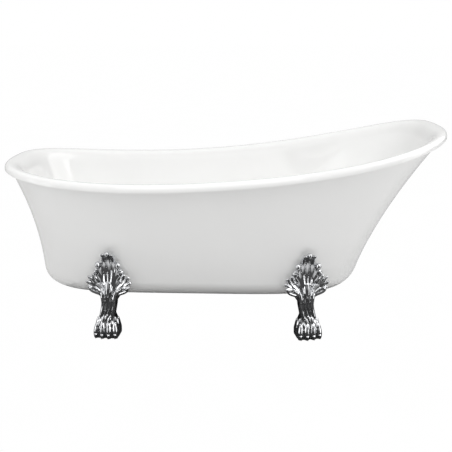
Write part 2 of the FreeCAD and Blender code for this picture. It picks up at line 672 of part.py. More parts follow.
def waste():
    """Flanged waste with a push plug, its body under the tub and the tail that meets the trap."""
    nodes = {}
    flange = tube(FLANGE_RADIUS, FLANGE_BORE_RADIUS, FLANGE_HEIGHT, drain_at(SEAT_TOP - FLANGE_HEIGHT))
    rim_edges = [e for e in flange.Edges if abs(e.BoundBox.ZMax - SEAT_TOP) < 0.01 and e.BoundBox.ZLength < 0.1]
    flange = flange.makeFillet(FLANGE_HEIGHT / 3, rim_edges)
    throat = tube(FLANGE_TUBE_RADIUS, FLANGE_BORE_RADIUS, SEAT_TOP - FLANGE_HEIGHT - TUBE_BOTTOM, drain_at(TUBE_BOTTOM))
    spider = cylinder(SOCKET_RADIUS + 2, SPIDER_HEIGHT, drain_at(TUBE_BOTTOM))
    for i in range(3):
        arm = Part.makeBox(FLANGE_BORE_RADIUS + 1, SPIDER_ARM, SPIDER_HEIGHT, V(0, -SPIDER_ARM / 2, 0))
        arm.rotate(V(0, 0, 0), UP, 120 * i)
        arm.translate(drain_at(TUBE_BOTTOM))
        spider = spider.fuse(arm)
    spider = spider.cut(cylinder(SOCKET_RADIUS + SLEEVE_CLEARANCE, SPIDER_HEIGHT, drain_at(TUBE_BOTTOM)))
    nodes["waste_flange"] = [flange.fuse([throat, spider]).removeSplitter()]
    round_tube = FLANGE_TUBE_RADIUS + SLEEVE_CLEARANCE
    nodes["waste_seat_gasket"] = [tube(FLANGE_RADIUS - 2, round_tube, SEAT_GASKET, drain_at(WELL_FLOOR))]
    nodes["waste_under_gasket"] = [tube(WASTE_COLLAR_RADIUS, round_tube, UNDER_GASKET, drain_at(COLLAR_TOP))]
    nodes["plug_socket"] = [tube(SOCKET_RADIUS, STEM_RADIUS + RUNNING_CLEARANCE, SPIDER_HEIGHT + 10,
                                 drain_at(TUBE_BOTTOM - 10))]
    nodes["waste_body"] = [waste_body()]
    tail_end = UNDERSIDE - TAIL_DROP
    nut_low = NUT_TOP - TAIL_NUT_HEIGHT
    tail = cylinder(TAIL_RADIUS, nut_low - TAIL_SHOULDER - tail_end, drain_at(tail_end))
    tail = tail.fuse(cylinder(TAIL_NECK_RADIUS, NUT_TOP + 1 - tail_end, drain_at(tail_end)))
    nodes["waste_tail"] = [tail.cut(cylinder(TAIL_RADIUS - TAIL_WALL, 2 * UNDERSIDE, drain_at(tail_end)))]
    nodes["waste_tail_nut"] = [tube(TAIL_NUT_RADIUS, TAIL_NECK_RADIUS + SLEEVE_CLEARANCE, TAIL_NUT_HEIGHT,
                                    drain_at(nut_low))]
    nodes.update(plug())
    return nodes


def waste_body():
    """Moulded body: collar under the gasket, chamber, and a side branch for the overflow."""
    wide, wall = WASTE_BODY_RADIUS, WASTE_BODY_WALL
    body = cylinder(WASTE_COLLAR_RADIUS, COLLAR_TOP - TUBE_BOTTOM, drain_at(TUBE_BOTTOM))
    body = body.fuse(cylinder(wide, COLLAR_TOP - CHAMBER_BOTTOM, drain_at(CHAMBER_BOTTOM)))
    branch_end = wide + PIPE_NUT_HEIGHT + 6
    middle = drain_at(PIPE_LEVEL)
    body = body.fuse(cylinder(OVERFLOW_PIPE_RADIUS + OVERFLOW_WALL, branch_end, middle, V(-1, 0, 0)))
    body = body.fuse(cylinder(TAIL_RADIUS + wall, CHAMBER_BOTTOM - NUT_TOP, drain_at(NUT_TOP)))
    hollow = cylinder(wide - wall, TUBE_BOTTOM - CHAMBER_BOTTOM - wall, drain_at(CHAMBER_BOTTOM + wall))
    neck = cylinder(FLANGE_TUBE_RADIUS + SLEEVE_CLEARANCE, COLLAR_TOP - TUBE_BOTTOM, drain_at(TUBE_BOTTOM))
    outlet = cylinder(TAIL_RADIUS - TAIL_WALL, wall + CHAMBER_BOTTOM - NUT_TOP, drain_at(NUT_TOP))
    branch = cylinder(OVERFLOW_PIPE_RADIUS, branch_end, middle, V(-1, 0, 0))
    socket = cylinder(TAIL_NECK_RADIUS + SLEEVE_CLEARANCE, 1.0, drain_at(NUT_TOP))
    return body.cut([hollow, neck, outlet, branch, socket]).removeSplitter()


def plug():
    """The push plug: a crowned cap, its seal, and the stem that slides in the socket."""
    seal_low = SEAT_TOP + FACE_CLEARANCE
    cap_low = seal_low + SEAL_THICKNESS
    rise = PLUG_CROWN - PLUG_EDGE
    dome = (PLUG_RADIUS ** 2 + rise ** 2) / (2 * rise)
    cap = cylinder(PLUG_RADIUS, PLUG_CROWN, drain_at(cap_low))
    cap = cap.common(Part.makeSphere(dome, drain_at(cap_low + PLUG_CROWN - dome)))
    stem_low = TUBE_BOTTOM - 8
    stem = cylinder(STEM_RADIUS, cap_low - stem_low, drain_at(stem_low))
    seal = tube(PLUG_RADIUS - 3, STEM_RADIUS + SLEEVE_CLEARANCE, SEAL_THICKNESS, drain_at(seal_low))
    return {"plug_cap": [cap], "plug_seal": [seal], "plug_stem": [stem]}


# ---------------------------------------------------------------- overflow

def overflow_frame():
    """Centre of the overflow on the wet face at the foot end, and the wall's normal into the tub."""
    height = rim_top(-LENGTH / 2) - OVERFLOW_BELOW_RIM
    share = well_share(height)
    centre = well_at(math.pi, share)
    up = (well_at(math.pi, share + 0.01) - well_at(math.pi, share - 0.01)).normalize()
    return V(centre.x, 0, centre.z), V(up.z, 0, -up.x)


def pipe_route(start, down, end):
    """Straight runs joined by arcs, down the cavity at the foot end and under the tub's floor."""
    def cavity(z):
        back = well_at(math.pi, well_share(z)).x - SHELL_WALL
        return (skin_wall_point(z, SKIN_WALL) + back) / 2

    turn = start.z - 2.2 * PIPE_NUT_HEIGHT
    middle = (start.z + PIPE_LEVEL) / 2
    low = PIPE_LEVEL + 1.5 * PIPE_BEND
    corners = [start, start + down * ((start.z - turn) / -down.z), V(cavity(middle), 0, middle),
               V(cavity(low), 0, low), V(cavity(low) + 4, 0, PIPE_LEVEL), end]
    edges, at = [], corners[0]
    for before, corner, after in zip(corners, corners[1:], corners[2:]):
        a, b = (before - corner).normalize(), (after - corner).normalize()
        half = math.acos(max(-1.0, min(1.0, a.dot(b)))) / 2
        reach = min((before - corner).Length, (after - corner).Length) * 0.45
        reach = min(reach, PIPE_BEND / math.tan(half)) if half < math.radians(80) else reach
        inward_way = (a + b).normalize()
        p, q = corner + a * reach, corner + b * reach
        centre_far = reach / math.cos(half)
        radius = reach * math.tan(half)
        edges += [Part.makeLine(at, p), Part.Arc(p, corner + inward_way * (centre_far - radius), q).toShape()]
        at = q
    edges.append(Part.makeLine(at, corners[-1]))
    return Part.Wire(edges)


def piped(route, radius):
    """A round bar swept along a route that starts straight."""
    first = route.Edges[0]
    start = first.valueAt(first.FirstParameter)
    way = first.tangentAt(first.FirstParameter)
    circle = Part.Wire([Part.makeCircle(radius, start, way)])
    return route.makePipeShell([circle], True, False)


def overflow(shell):
    """Face, gasket, body, pipe and nuts of the overflow. The wall is drilled for it in drilled_shell."""
    centre, normal = overflow_frame()
    back = normal * -1
    down = V(normal.z, 0, -normal.x)
    behind = centre + back * SHELL_WALL
    body_face = behind + back * OVERFLOW_GASKET
    nodes = {}
    gasket = tube(OVERFLOW_FACE_RADIUS - 2, OVERFLOW_HOLE_RADIUS, OVERFLOW_GASKET + SHELL_WALL, body_face, normal)
    nodes["overflow_gasket"] = [biggest(gasket.cut(shell), body_face)]
    inner_depth = OVERFLOW_BODY_DEPTH - OVERFLOW_WALL
    flange = cylinder(OVERFLOW_FACE_RADIUS, OVERFLOW_WALL, body_face, back)
    drum = cylinder(OVERFLOW_BODY_RADIUS, OVERFLOW_BODY_DEPTH, body_face, back)
    spigot_from = body_face + back * (OVERFLOW_BODY_DEPTH / 2)
    spigot_reach = OVERFLOW_FACE_RADIUS + PIPE_NUT_HEIGHT
    spigot = cylinder(OVERFLOW_PIPE_RADIUS + OVERFLOW_WALL, spigot_reach, spigot_from, down)
    keep = cylinder(3 * OVERFLOW_FACE_RADIUS, 3 * OVERFLOW_BODY_DEPTH, body_face, back)
    bore = cylinder(OVERFLOW_PIPE_RADIUS, spigot_reach, spigot_from, down)
    hollow = cylinder(OVERFLOW_BODY_RADIUS - OVERFLOW_WALL, inner_depth, body_face, back)
    post = cylinder(2 * OVERFLOW_SCREW_RADIUS, OVERFLOW_BODY_DEPTH, body_face, back)
    body = flange.fuse([drum, spigot]).common(keep).cut([hollow, bore]).fuse(post)
    thread = OVERFLOW_SCREW_RADIUS + SLEEVE_CLEARANCE
    body = body.cut(cylinder(thread, inner_depth + FACE_CLEARANCE, body_face, back))
    nodes["overflow_body"] = [body.removeSplitter()]
    face_out = centre + normal * OVERFLOW_FACE_STANDOFF
    cup = cylinder(OVERFLOW_FACE_RADIUS, OVERFLOW_FACE_STANDOFF + SHELL_WALL, face_out, back)
    cup = cup.cut(cylinder(OVERFLOW_FACE_RADIUS - OVERFLOW_FACE_THICKNESS, 4 * OVERFLOW_FACE_STANDOFF,
                           face_out + back * OVERFLOW_FACE_THICKNESS, back))
    cup = biggest(cup.cut(shell), face_out)
    slot = Part.makeBox(OVERFLOW_SLOT, OVERFLOW_SLOT, OVERFLOW_FACE_STANDOFF * 2,
                        V(-OVERFLOW_SLOT / 2, 0, OVERFLOW_FACE_THICKNESS))
    cup = cup.cut(framed(slot, face_out, down, back))
    head = cylinder(2 * OVERFLOW_SCREW_RADIUS, 1.5, face_out, normal)
    screw_length = OVERFLOW_FACE_STANDOFF + SHELL_WALL + OVERFLOW_GASKET + inner_depth
    screw = cylinder(OVERFLOW_SCREW_RADIUS, screw_length, face_out, back)
    nodes["overflow_screw"] = [head.fuse(screw).removeSplitter()]
    nodes["overflow_face"] = [cup.cut(cylinder(thread, 4 * OVERFLOW_FACE_STANDOFF, face_out, back))]
    start = spigot_from + down * spigot_reach
    branch_end = V(DRAIN.x - WASTE_BODY_RADIUS - PIPE_NUT_HEIGHT - 6, 0, PIPE_LEVEL)
    route = pipe_route(start, down, branch_end)
    pipe = piped(route, OVERFLOW_PIPE_RADIUS + OVERFLOW_WALL).cut(piped(route, OVERFLOW_PIPE_RADIUS + OVERFLOW_WALL
                                                                       - OVERFLOW_PIPE_WALL))
    nodes["overflow_pipe"] = [pipe]
    grip = OVERFLOW_PIPE_RADIUS + OVERFLOW_WALL + SLEEVE_CLEARANCE
    for name, joint, way in (("overflow_lower_nut", branch_end, V(1, 0, 0)), ("overflow_upper_nut", start, down)):
        low = joint - way * (PIPE_NUT_HEIGHT / 2)
        nodes[name] = [tube(PIPE_NUT_RADIUS, grip, PIPE_NUT_HEIGHT, low, way)]
    return nodes


def framed(shape, origin, x_way, z_way):
    """A shape drawn about the origin, moved so that its Y lies along x_way and its Z along z_way."""
    across = x_way.cross(z_way)
    shape = shape.copy()
    shape.Placement = FreeCAD.Placement(origin, FreeCAD.Rotation(across, x_way, z_way, "ZXY"))
    return shape


def biggest(shape, near):
    """The solid nearest to a point, where a cut has left offcuts beyond the wall."""
    return min(shape.Solids, key=lambda s: (s.CenterOfMass - near).Length)


# ---------------------------------------------------------------- the two shells

def drilled_shell():
    """Inner shell with its waste and overflow holes."""
    shell = walled(shell_ring, (8, 9, 8, 6, 2), SHELL_WALL)
    centre, normal = overflow_frame()
    waste_hole = cylinder(FLANGE_TUBE_RADIUS, 4 * SHELL_WALL, drain_at(SHELL_BOTTOM - SHELL_WALL))
    overflow_hole = cylinder(OVERFLOW_HOLE_RADIUS, 4 * SHELL_WALL, centre + normal * (2 * SHELL_WALL), normal * -1)
    return shell.cut([waste_hole, overflow_hole])


def drilled_skin():
    """Outer skin with holes for the studs and the tail."""
    skin = walled(skin_ring, (8, 10), -SKIN_WALL, skin_collar)
    holes = [cylinder(STUD_HOLE_RADIUS, 4 * SKIN_WALL, V(p.x, p.y, UNDERSIDE - SKIN_WALL)) for p in stud_points()]
    holes.append(cylinder(TAIL_NUT_RADIUS + SKIN_HOLE_CLEARANCE, 4 * SKIN_WALL, drain_at(UNDERSIDE - SKIN_WALL)))
    return skin.cut(holes)


def write(name, solids):
    shape = solids[0] if len(solids) == 1 else Part.makeCompound(solids)
    shape.exportStep(os.path.join("parts", name + ".step"))
    print("%-32s %2d solid(s) %10.1f cm3  valid %s" % (name, len(shape.Solids), shape.Volume / 1000, shape.isValid()))


def main():
    os.makedirs("parts", exist_ok=True)
    shell = drilled_shell()
    write("inner_shell", [shell])
    write("outer_skin", [drilled_skin()])
    for end, place in FOOT_PLACES.items():
        for name, build in (("paw_foot", foot_casting), ("leveller_pad", leveller_pad),
                            ("leveller_screw", leveller_screw)):
            front = build(place)
            write("%s_front_%s" % (name, end), [front])
            write("%s_back_%s" % (name, end), [mirrored(front)])
    for group in (foot_fasteners(), carcass(), waste(), overflow(shell)):
        for name, solids in group.items():
            write(name, solids)


main()
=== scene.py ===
"""A freestanding slipper bath on chrome paw feet, modelled round its fixed frame.

The frame gives every fitting its place. The two acrylic shells and the four cast feet are modelled here;
the other pieces keep their frame shapes and get their finishes here.
"""

import bisect
import json
import math

import bmesh
import bpy
from bpy.props import FloatProperty, FloatVectorProperty, IntProperty, PointerProperty
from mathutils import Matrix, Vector

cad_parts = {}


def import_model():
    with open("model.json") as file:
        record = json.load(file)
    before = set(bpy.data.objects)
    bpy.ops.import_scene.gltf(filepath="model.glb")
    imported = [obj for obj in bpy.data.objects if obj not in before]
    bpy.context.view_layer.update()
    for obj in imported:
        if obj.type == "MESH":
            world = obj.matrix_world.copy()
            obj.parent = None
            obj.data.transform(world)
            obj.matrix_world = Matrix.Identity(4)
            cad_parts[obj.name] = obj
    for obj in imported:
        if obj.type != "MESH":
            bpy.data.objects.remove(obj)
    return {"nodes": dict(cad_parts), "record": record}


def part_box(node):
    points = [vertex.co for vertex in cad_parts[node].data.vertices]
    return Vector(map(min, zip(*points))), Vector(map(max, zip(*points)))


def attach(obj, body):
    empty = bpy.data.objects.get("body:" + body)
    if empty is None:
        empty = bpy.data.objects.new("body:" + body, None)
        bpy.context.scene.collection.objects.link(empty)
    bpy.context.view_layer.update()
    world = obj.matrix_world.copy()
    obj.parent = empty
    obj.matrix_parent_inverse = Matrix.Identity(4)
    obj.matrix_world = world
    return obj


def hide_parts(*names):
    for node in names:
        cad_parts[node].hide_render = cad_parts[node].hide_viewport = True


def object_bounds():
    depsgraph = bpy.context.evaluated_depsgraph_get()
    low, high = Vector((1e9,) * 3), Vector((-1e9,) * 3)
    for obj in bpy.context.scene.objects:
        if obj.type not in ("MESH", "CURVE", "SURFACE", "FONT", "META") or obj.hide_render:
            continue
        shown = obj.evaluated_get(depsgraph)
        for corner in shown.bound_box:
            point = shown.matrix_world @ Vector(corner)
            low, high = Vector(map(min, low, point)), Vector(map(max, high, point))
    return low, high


bl_info = {
    "name": "Slipper Bath",
    "version": (1, 0, 0),
    "blender": (4, 5, 0),
    "location": "3D View > Sidebar > Bath",
    "description": "Models a double-walled slipper bath on paw feet round its fixed frame",
    "category": "Add Mesh",
}

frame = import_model()
CAD_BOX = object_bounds()
MM = 0.001
BATH = "bath"
EDGE_BREAK = 0.8 * MM       # bevel on the cut edges of both shells
RAMP = "ShaderNodeValToRGB"


# ---------------------------------------------------------------- sizes and colours a user may change

def length_prop(name, description, millimetres):
    return FloatProperty(name=name, description=description, default=millimetres * MM, unit="LENGTH",
                         subtype="DISTANCE")


def shape_prop(name, description, value):
    return FloatProperty(name=name, description=description, default=value)


def colour_prop(name, description, code):
    return FloatVectorProperty(name=name, description=description, default=linear(code), size=3, subtype="COLOR",
                               min=0.0, max=1.0)


def linear(code):
    """An sRGB hex value as linear red, green and blue."""
    parts = [int(code[i:i + 2], 16) / 255 for i in (1, 3, 5)]
    return tuple(p / 12.92 if p <= 0.04045 else ((p + 0.055) / 1.055) ** 2.4 for p in parts)


class TubSizes(bpy.types.PropertyGroup):
    """Sizes of the two acrylic shells."""

    length: FloatProperty(name="Length", description="Over the lips of the rim", unit="LENGTH",
                          default=CAD_BOX[1].x - CAD_BOX[0].x)
    half_width: length_prop("Half width", "Centre line to lip, halfway along", 375)
    rim_squareness: shape_prop("Rim squareness", "Exponent of the rim's oval", 2.76)
    widening: shape_prop("Slipper widening", "Extra width of the slipper end", 0.09)
    fullness: shape_prop("End fullness", "How far both ends are filled out", 0.19)
    underside: length_prop("Underside", "Floor to the flat bottom of the tub", 152)
    rim_middle: length_prop("Rim height", "Underside to the top of the rim, halfway along", 487)
    rim_slope: length_prop("Rim slope", "Straight part of the rise to the slipper end", 67)
    rim_sag: length_prop("Rim sag", "Rise of both ends over the middle", 80)
    rim_kick: length_prop("Rim kick", "Last lift at both ends", 15)
    foot_end_rake: length_prop("Foot end rake", "Top edge of the skin to its foot, foot end", 88)
    slipper_end_rake: length_prop("Slipper end rake", "Top edge of the skin to its foot, slipper end", 291)
    side_rake: length_prop("Side rake", "Top edge of the skin to its foot, sides", 95)
    base_side_power: shape_prop("Base side power", "How straight the base's oval runs along its sides", 4.8)
    base_end_power: shape_prop("Base end power", "How square the base's oval is at its ends", 2.18)
    base_middle: length_prop("Base middle", "Widest place of the base, from the middle of the rim", -125)
    base_widening: shape_prop("Base widening", "Extra width of the base towards the slipper end", 0.05)
    skin_fillet: length_prop("Skin fillet", "Radius between the side and the flat bottom", 70)
    skin_wall: length_prop("Skin wall", "Thickness of the outer skin", 5)
    shell_wall: length_prop("Shell wall", "Thickness of the inner shell", 6)
    lip_height: length_prop("Lip height", "Depth of the turned-down lip", 25)
    lip_radius: length_prop("Lip radius", "Round between the crest and the lip", 21)
    lip_overhang: length_prop("Lip overhang", "Lip beyond the outer skin", 22)
    roll_width: length_prop("Roll width", "Lip to the top of the inner wall", 72)
    foot_roll_width: length_prop("Foot end roll width", "The same at the foot end", 80)
    roll_drop: length_prop("Roll drop", "Crest to the top of the inner wall", 42)
    roll_ease: length_prop("Roll ease", "Handle of the roll's curve at the wall", 24)
    crest_ease: length_prop("Crest ease", "Handle of the roll's curve at the crest", 32)
    well_floor: length_prop("Well floor", "Floor to the bottom of the well", 223)
    well_inset_ends: length_prop("Well inset, ends", "Inner wall inside the skin at the base, ends", 60)
    well_inset_sides: length_prop("Well inset, sides", "Inner wall inside the skin at the base, sides", 45)
    well_fillet: length_prop("Well fillet", "Radius between the wall and the well's floor", 90)
    around: IntProperty(name="Columns", description="Quads round each ring of the shells", default=288, min=48)
    stud_inset: length_prop("Stud inset", "Side of the base to the middle of a foot's stud", 110)
    stud_hole: length_prop("Stud hole", "Radius of the skin's holes for the studs", 6.5)
    waste_hole: length_prop("Waste hole", "Radius of the well's hole for the waste", 24.2)
    overflow_hole: length_prop("Overflow hole", "Radius of the hole for the overflow", 26)
    tail_hole: length_prop("Tail hole", "Radius of the skin's hole under the waste", 33)


class FootSizes(bpy.types.PropertyGroup):
    """Sizes of the four cast feet."""

    left_setback: length_prop("Left setback", "End of the base to the middle of the leaf, foot end", 312)
    right_setback: length_prop("Right setback", "End of the base to the middle of the leaf, slipper end", 216)
    left_lean: length_prop("Left lean", "Tip of the leaf towards the tub's middle, foot end", 7)
    right_lean: length_prop("Right lean", "Tip of the leaf towards the tub's middle, slipper end", 1)
    paw_aside: length_prop("Paw aside", "Middle of the paw beyond its pad, towards the tub's end", 4)
    leaf_tip: length_prop("Leaf tip", "Floor to the tip of the leaf", 352)
    leaf_clearance: length_prop("Leaf clearance", "Leaf's back to the tub's skin", 0.6)
    ledge_thickness: length_prop("Ledge thickness", "Lug under the tub that the stud goes through", 12)
    ledge_width: length_prop("Ledge width", "Width of the lug", 50)
    pad_recess: length_prop("Pad recess", "Radius of the hollow over the levelling pad", 20.5)
    recess_height: length_prop("Recess height", "Floor to the top of that hollow", 14.3)
    screw_bore: length_prop("Screw bore", "Radius of the hole for the levelling screw", 5.1)
    bore_top: length_prop("Bore top", "Floor to the top of that hole", 56.5)
    grain: length_prop("Casting grain", "Finest detail of the casting", 1.5)


class Finishes(bpy.types.PropertyGroup):
    """Base colours of the finishes."""

    acrylic: colour_prop("Acrylic", "Cast acrylic sheet of the two shells", "#F4F4F3")
    chrome: colour_prop("Chrome", "Chrome plate on the feet and the trims", "#D9DADC")
    zinc: colour_prop("Zinc", "Bright zinc plate on the steelwork", "#A9ACAF")
    rubber: colour_prop("Rubber", "Black moulded rubber", "#1B1B1C")
    moulding: colour_prop("Plumbing plastic", "White polypropylene of the waste and the pipe", "#E9E9E6")
    brass: colour_prop("Brass", "Turned brass of the plug's stem", "#C9A25C")
    plywood: colour_prop("Plywood", "Birch plywood under the well", "#C9A878")


class Studio(bpy.types.PropertyGroup):
    """Where the camera stands, and how strong the light is."""

    camera_place: FloatVectorProperty(name="Camera", description="Place of the camera", size=3, unit="LENGTH",
                                      default=(0.0698, -2.4994, 1.1465))
    camera_pitch: FloatProperty(name="Pitch", description="Camera below the horizontal", unit="ROTATION",
                                default=math.radians(17.26))
    camera_yaw: FloatProperty(name="Yaw", description="Camera turned to the left", unit="ROTATION",
                              default=math.radians(1.28))
    lens: FloatProperty(name="Lens", description="Focal length on a 36 mm sensor", default=50.16)
    sky: FloatProperty(name="Sky", description="Strength of the even light all round", default=1.15)
    key: FloatProperty(name="Key", description="Brightness of the softbox over the front", default=1.5)
    floor: FloatProperty(name="Floor", description="Reflectance of the floor", default=0.95)
    room: FloatProperty(name="Room", description="Strength of the room in sharp reflections", default=1.0)


# ---------------------------------------------------------------- the tub's form

class TubForm:
    """The surfaces of the tub, from its sizes. phi runs round the tub, 0 at the slipper end."""

    side_flare, foot_flare, slipper_flare = 2.1, 2.07, 1.3
    side_wall_flare, foot_wall_flare, slipper_wall_flare = 1.35, 1.6, 1.3
    tuck = 1.35                 # the skin's hidden edge stops this many shell walls under the crest
    newton_steps = 12

    def __init__(self, sizes):
        self.s = sizes
        self.base_left = sizes.length / 2 - sizes.lip_overhang - sizes.foot_end_rake
        self.base_right = sizes.length / 2 - sizes.lip_overhang - sizes.slipper_end_rake
        self.base_half = sizes.half_width - sizes.lip_overhang - sizes.side_rake

    @staticmethod
    def oval(phi, left, right, half, squareness):
        c, s = math.cos(phi), math.sin(phi)
        rho = (abs(c) ** squareness + abs(s) ** squareness) ** (-1 / squareness)
        return Vector(((left if c < 0 else right) * rho * c, half * rho * s, 0))

    @staticmethod
    def by_end(phi, side, foot_end, slipper_end):
        c = math.cos(phi)
        return side + ((foot_end if c < 0 else slipper_end) - side) * c * c

    @staticmethod
    def rounding(height, radius):
        left = max(0.0, radius - height)
        return radius - math.sqrt(max(0.0, radius ** 2 - left ** 2))

    def rim_plan(self, phi):
        s = self.s
        p = self.oval(phi, s.length / 2, s.length / 2, s.half_width, s.rim_squareness)
        u = p.x / (s.length / 2)
        return Vector((p.x, p.y * (1 + s.widening * u + s.fullness * u * u), 0))

    def rim_top(self, x):
        s = self.s
        u = x / (s.length / 2)
        return s.underside + s.rim_middle + s.rim_slope * u + s.rim_sag * u ** 2 + s.rim_kick * u ** 4

    def inward(self, curve, phi):
        t = curve(phi + 1e-3) - curve(phi - 1e-3)
        return Vector((-t.y, t.x, 0)).normalized()

    def rim_point(self, phi, inset, drop):
        p = self.rim_plan(phi) + self.inward(self.rim_plan, phi) * inset
        return Vector((p.x, p.y, self.rim_top(p.x) - drop))

    def base_oval(self, phi, pulled_in, half):
        """A point of the base's oval, straighter at its sides than at its ends, by Newton's steps on its radius."""
        s = self.s
        c, sine = math.cos(phi), math.sin(phi)
        rho = 1.0
        for _ in range(self.newton_steps):
            along = (rho * abs(c)) ** s.base_side_power
            across = (rho * abs(sine)) ** s.base_end_power
            rho -= rho * (along + across - 1) / (s.base_side_power * along + s.base_end_power * across)
        reach = self.base_left + s.base_middle if c < 0 else self.base_right - s.base_middle
        x = s.base_middle + (reach - pulled_in) * rho * c
        return Vector((x, half * rho * sine * (1 + s.base_widening * x / (s.length / 2)), 0))

    def skin_plan(self, phi, pulled_in=0.0):
        return self.base_oval(phi, pulled_in, self.base_half - pulled_in)

    def skin_at(self, phi, height):
        """A point of the outer skin, at a height above the underside."""
        s = self.s
        top = self.rim_point(phi, s.lip_overhang, s.lip_height)
        share = max(0.0, height) / (top.z - s.underside)
        flare = share ** self.by_end(phi, self.side_flare, self.foot_flare, self.slipper_flare)
        p = self.skin_plan(phi, self.rounding(height, s.skin_fillet))
        p = p + (Vector((top.x, top.y, 0)) - self.skin_plan(phi)) * flare
        return Vector((p.x, p.y, s.underside + height))

    def skin_ring(self, phi, k):
        """The outer skin: flat bottom, k = 0, fillet to 1, wall to 2, straight up behind the lip to 3."""
        s = self.s
        if k <= 1:
            return self.skin_at(phi, s.skin_fillet * (1 - math.cos(k * math.pi / 2)))
        top = self.rim_point(phi, s.lip_overhang, s.lip_height)
        if k <= 2:
            height = top.z - s.underside
            return self.skin_at(phi, s.skin_fillet + (height - s.skin_fillet) * (k - 1))
        behind = s.lip_height - self.tuck * s.shell_wall
        return top + Vector((0, 0, behind * (k - 2)))

    def well_plan(self, phi, pulled_in=0.0):
        return self.base_oval(phi, self.s.well_inset_ends + pulled_in,
                              self.base_half - self.s.well_inset_sides - pulled_in)

    def wall_top(self, phi):
        s = self.s
        return self.rim_point(phi, self.by_end(phi, s.roll_width, s.foot_roll_width, s.roll_width), s.roll_drop)

    def well_at(self, phi, share):
        """A point of the wet wall, share 0 at the well's floor and 1 under the roll."""
        s = self.s
        top = self.wall_top(phi)
        flare = share ** self.by_end(phi, self.side_wall_flare, self.foot_wall_flare, self.slipper_wall_flare)
        height = share * (top.z - s.well_floor)
        p = self.well_plan(phi, self.rounding(height, s.well_fillet))
        p = p + (Vector((top.x, top.y, 0)) - self.well_plan(phi)) * flare
        return Vector((p.x, p.y, s.well_floor + height))

    def shell_ring(self, phi, k):
        """The wet face: floor, k = 0, fillet to 1, wall to 2, roll to 3, lip's round to 4, its hem at 5."""
        s = self.s
        if k <= 2:
            bend = s.well_fillet / (self.wall_top(phi).z - s.well_floor)
            if k <= 1:
                return self.well_at(phi, bend * (1 - math.cos(k * math.pi / 2)))
            return self.well_at(phi, bend + (1 - bend) * (k - 1))
        if k <= 3:
            t = k - 2
            start = self.well_at(phi, 1)
            along = (start - self.well_at(phi, 0.99)).normalized()
            handles = (start, start + along * s.roll_ease,
                       self.rim_point(phi, s.lip_radius + s.crest_ease, 0), self.rim_point(phi, s.lip_radius, 0))
            weights = ((1 - t) ** 3, 3 * t * (1 - t) ** 2, 3 * t * t * (1 - t), t ** 3)
            return sum((h * w for h, w in zip(handles, weights)), Vector((0, 0, 0)))
        if k <= 4:
            turn = (k - 3) * math.pi / 2
            r = s.lip_radius
            return self.rim_point(phi, r * (1 - math.sin(turn)), r * (1 - math.cos(turn)))
        return self.rim_point(phi, 0, s.lip_radius + (s.lip_height - s.lip_radius) * (k - 4))


class FootPlace:
    """Where a foot stands on the front: its point at the skin's foot, the way it faces, the skin behind its leaf."""

    column_step, columns_each_side = 8 * MM, 13      # the table of the skin behind the leaf
    row_step, wall_rows, fillet_rows = 14 * MM, 13, 9
    search_turn = 0.8           # radians of phi on either side in which the skin behind the leaf is looked for
    splay_share = 0.6           # upper part of the leg, over which it splays

    def __init__(self, form, x, lean, paw_aside, pad):
        self.form = form
        self.phi = self.halved(-math.pi, 0.0, lambda phi: form.skin_plan(phi).x < x)
        self.point = form.skin_plan(self.phi)
        self.out = form.inward(form.skin_plan, self.phi) * -1
        self.side = Vector((-self.out.y, self.out.x, 0))
        self.lean = lean
        self.splay = (pad - self.point).dot(self.side)
        self.splay += math.copysign(paw_aside, self.splay)
        self.columns = [i * self.column_step for i in range(-self.columns_each_side, self.columns_each_side + 1)]
        fillet = form.s.skin_fillet
        turn = math.pi / 2 / self.fillet_rows
        self.rows = [fillet * (1 - math.cos(i * turn)) for i in range(self.fillet_rows)]
        self.rows += [fillet + i * self.row_step for i in range(self.wall_rows)]
        self.table = [[self.skin_reach(u, h) for u in self.columns] for h in self.rows]

    @staticmethod
    def halved(low, high, below, steps=26):
        """The turning point between low and high, found by halving."""
        for _ in range(steps):
            middle = (low + high) / 2
            low, high = (middle, high) if below(middle) else (low, middle)
        return low

    def skin_reach(self, across, height):
        """How far the skin stands outside the foot's point, at a distance across and a height over the underside."""
        def before(phi):
            return (self.form.skin_at(phi, height) - self.point).dot(self.side) < across
        phi = self.halved(self.phi - self.search_turn, self.phi + self.search_turn, before)
        return (self.form.skin_at(phi, height) - self.point).dot(self.out)

    @staticmethod
    def between(values, value):
        """The cell of a rising list that holds a value, and how far along the cell it lies."""
        value = min(max(value, values[0]), values[-1])
        i = min(bisect.bisect_right(values, value) - 1, len(values) - 2)
        return i, (value - values[i]) / (values[i + 1] - values[i])

    def skin_from_table(self, across, height):
        i, a = self.between(self.columns, across)
        j, b = self.between(self.rows, height)
        low, high = self.table[j], self.table[j + 1]
        return (low[i] * (1 - a) + low[i + 1] * a) * (1 - b) + (high[i] * (1 - a) + high[i + 1] * a) * b

    @staticmethod
    def eased(share):
        """From 0 to 1, with a slow start and a slow end."""
        share = min(1.0, max(0.0, share))
        return share * share * (3 - 2 * share)

    def carried(self, flat, sizes):
        """From the flat casting, x across, -y out and z up, to the tub's side. The leg splays over its upper part."""
        s = self.form.s
        height = flat.z - s.underside
        rise = max(0.0, height) / (sizes.leaf_tip - s.underside)
        across = flat.x + self.splay * self.eased(-height / (self.splay_share * s.underside)) + self.lean * rise
        out = -flat.y
        if height > 0:
            hold = self.eased(height / s.skin_fillet)
            out += self.skin_from_table(across, max(height, s.skin_fillet)) * hold
            out = max(out, self.skin_from_table(across, height) + sizes.leaf_clearance)
        p = self.point + self.side * across + self.out * out
        return Vector((p.x, p.y, flat.z))


# ---------------------------------------------------------------- modelling helpers

def nothing_selected():
    if bpy.context.object and bpy.context.object.mode != "OBJECT":
        bpy.ops.object.mode_set(mode="OBJECT")
    bpy.ops.object.select_all(action="DESELECT")


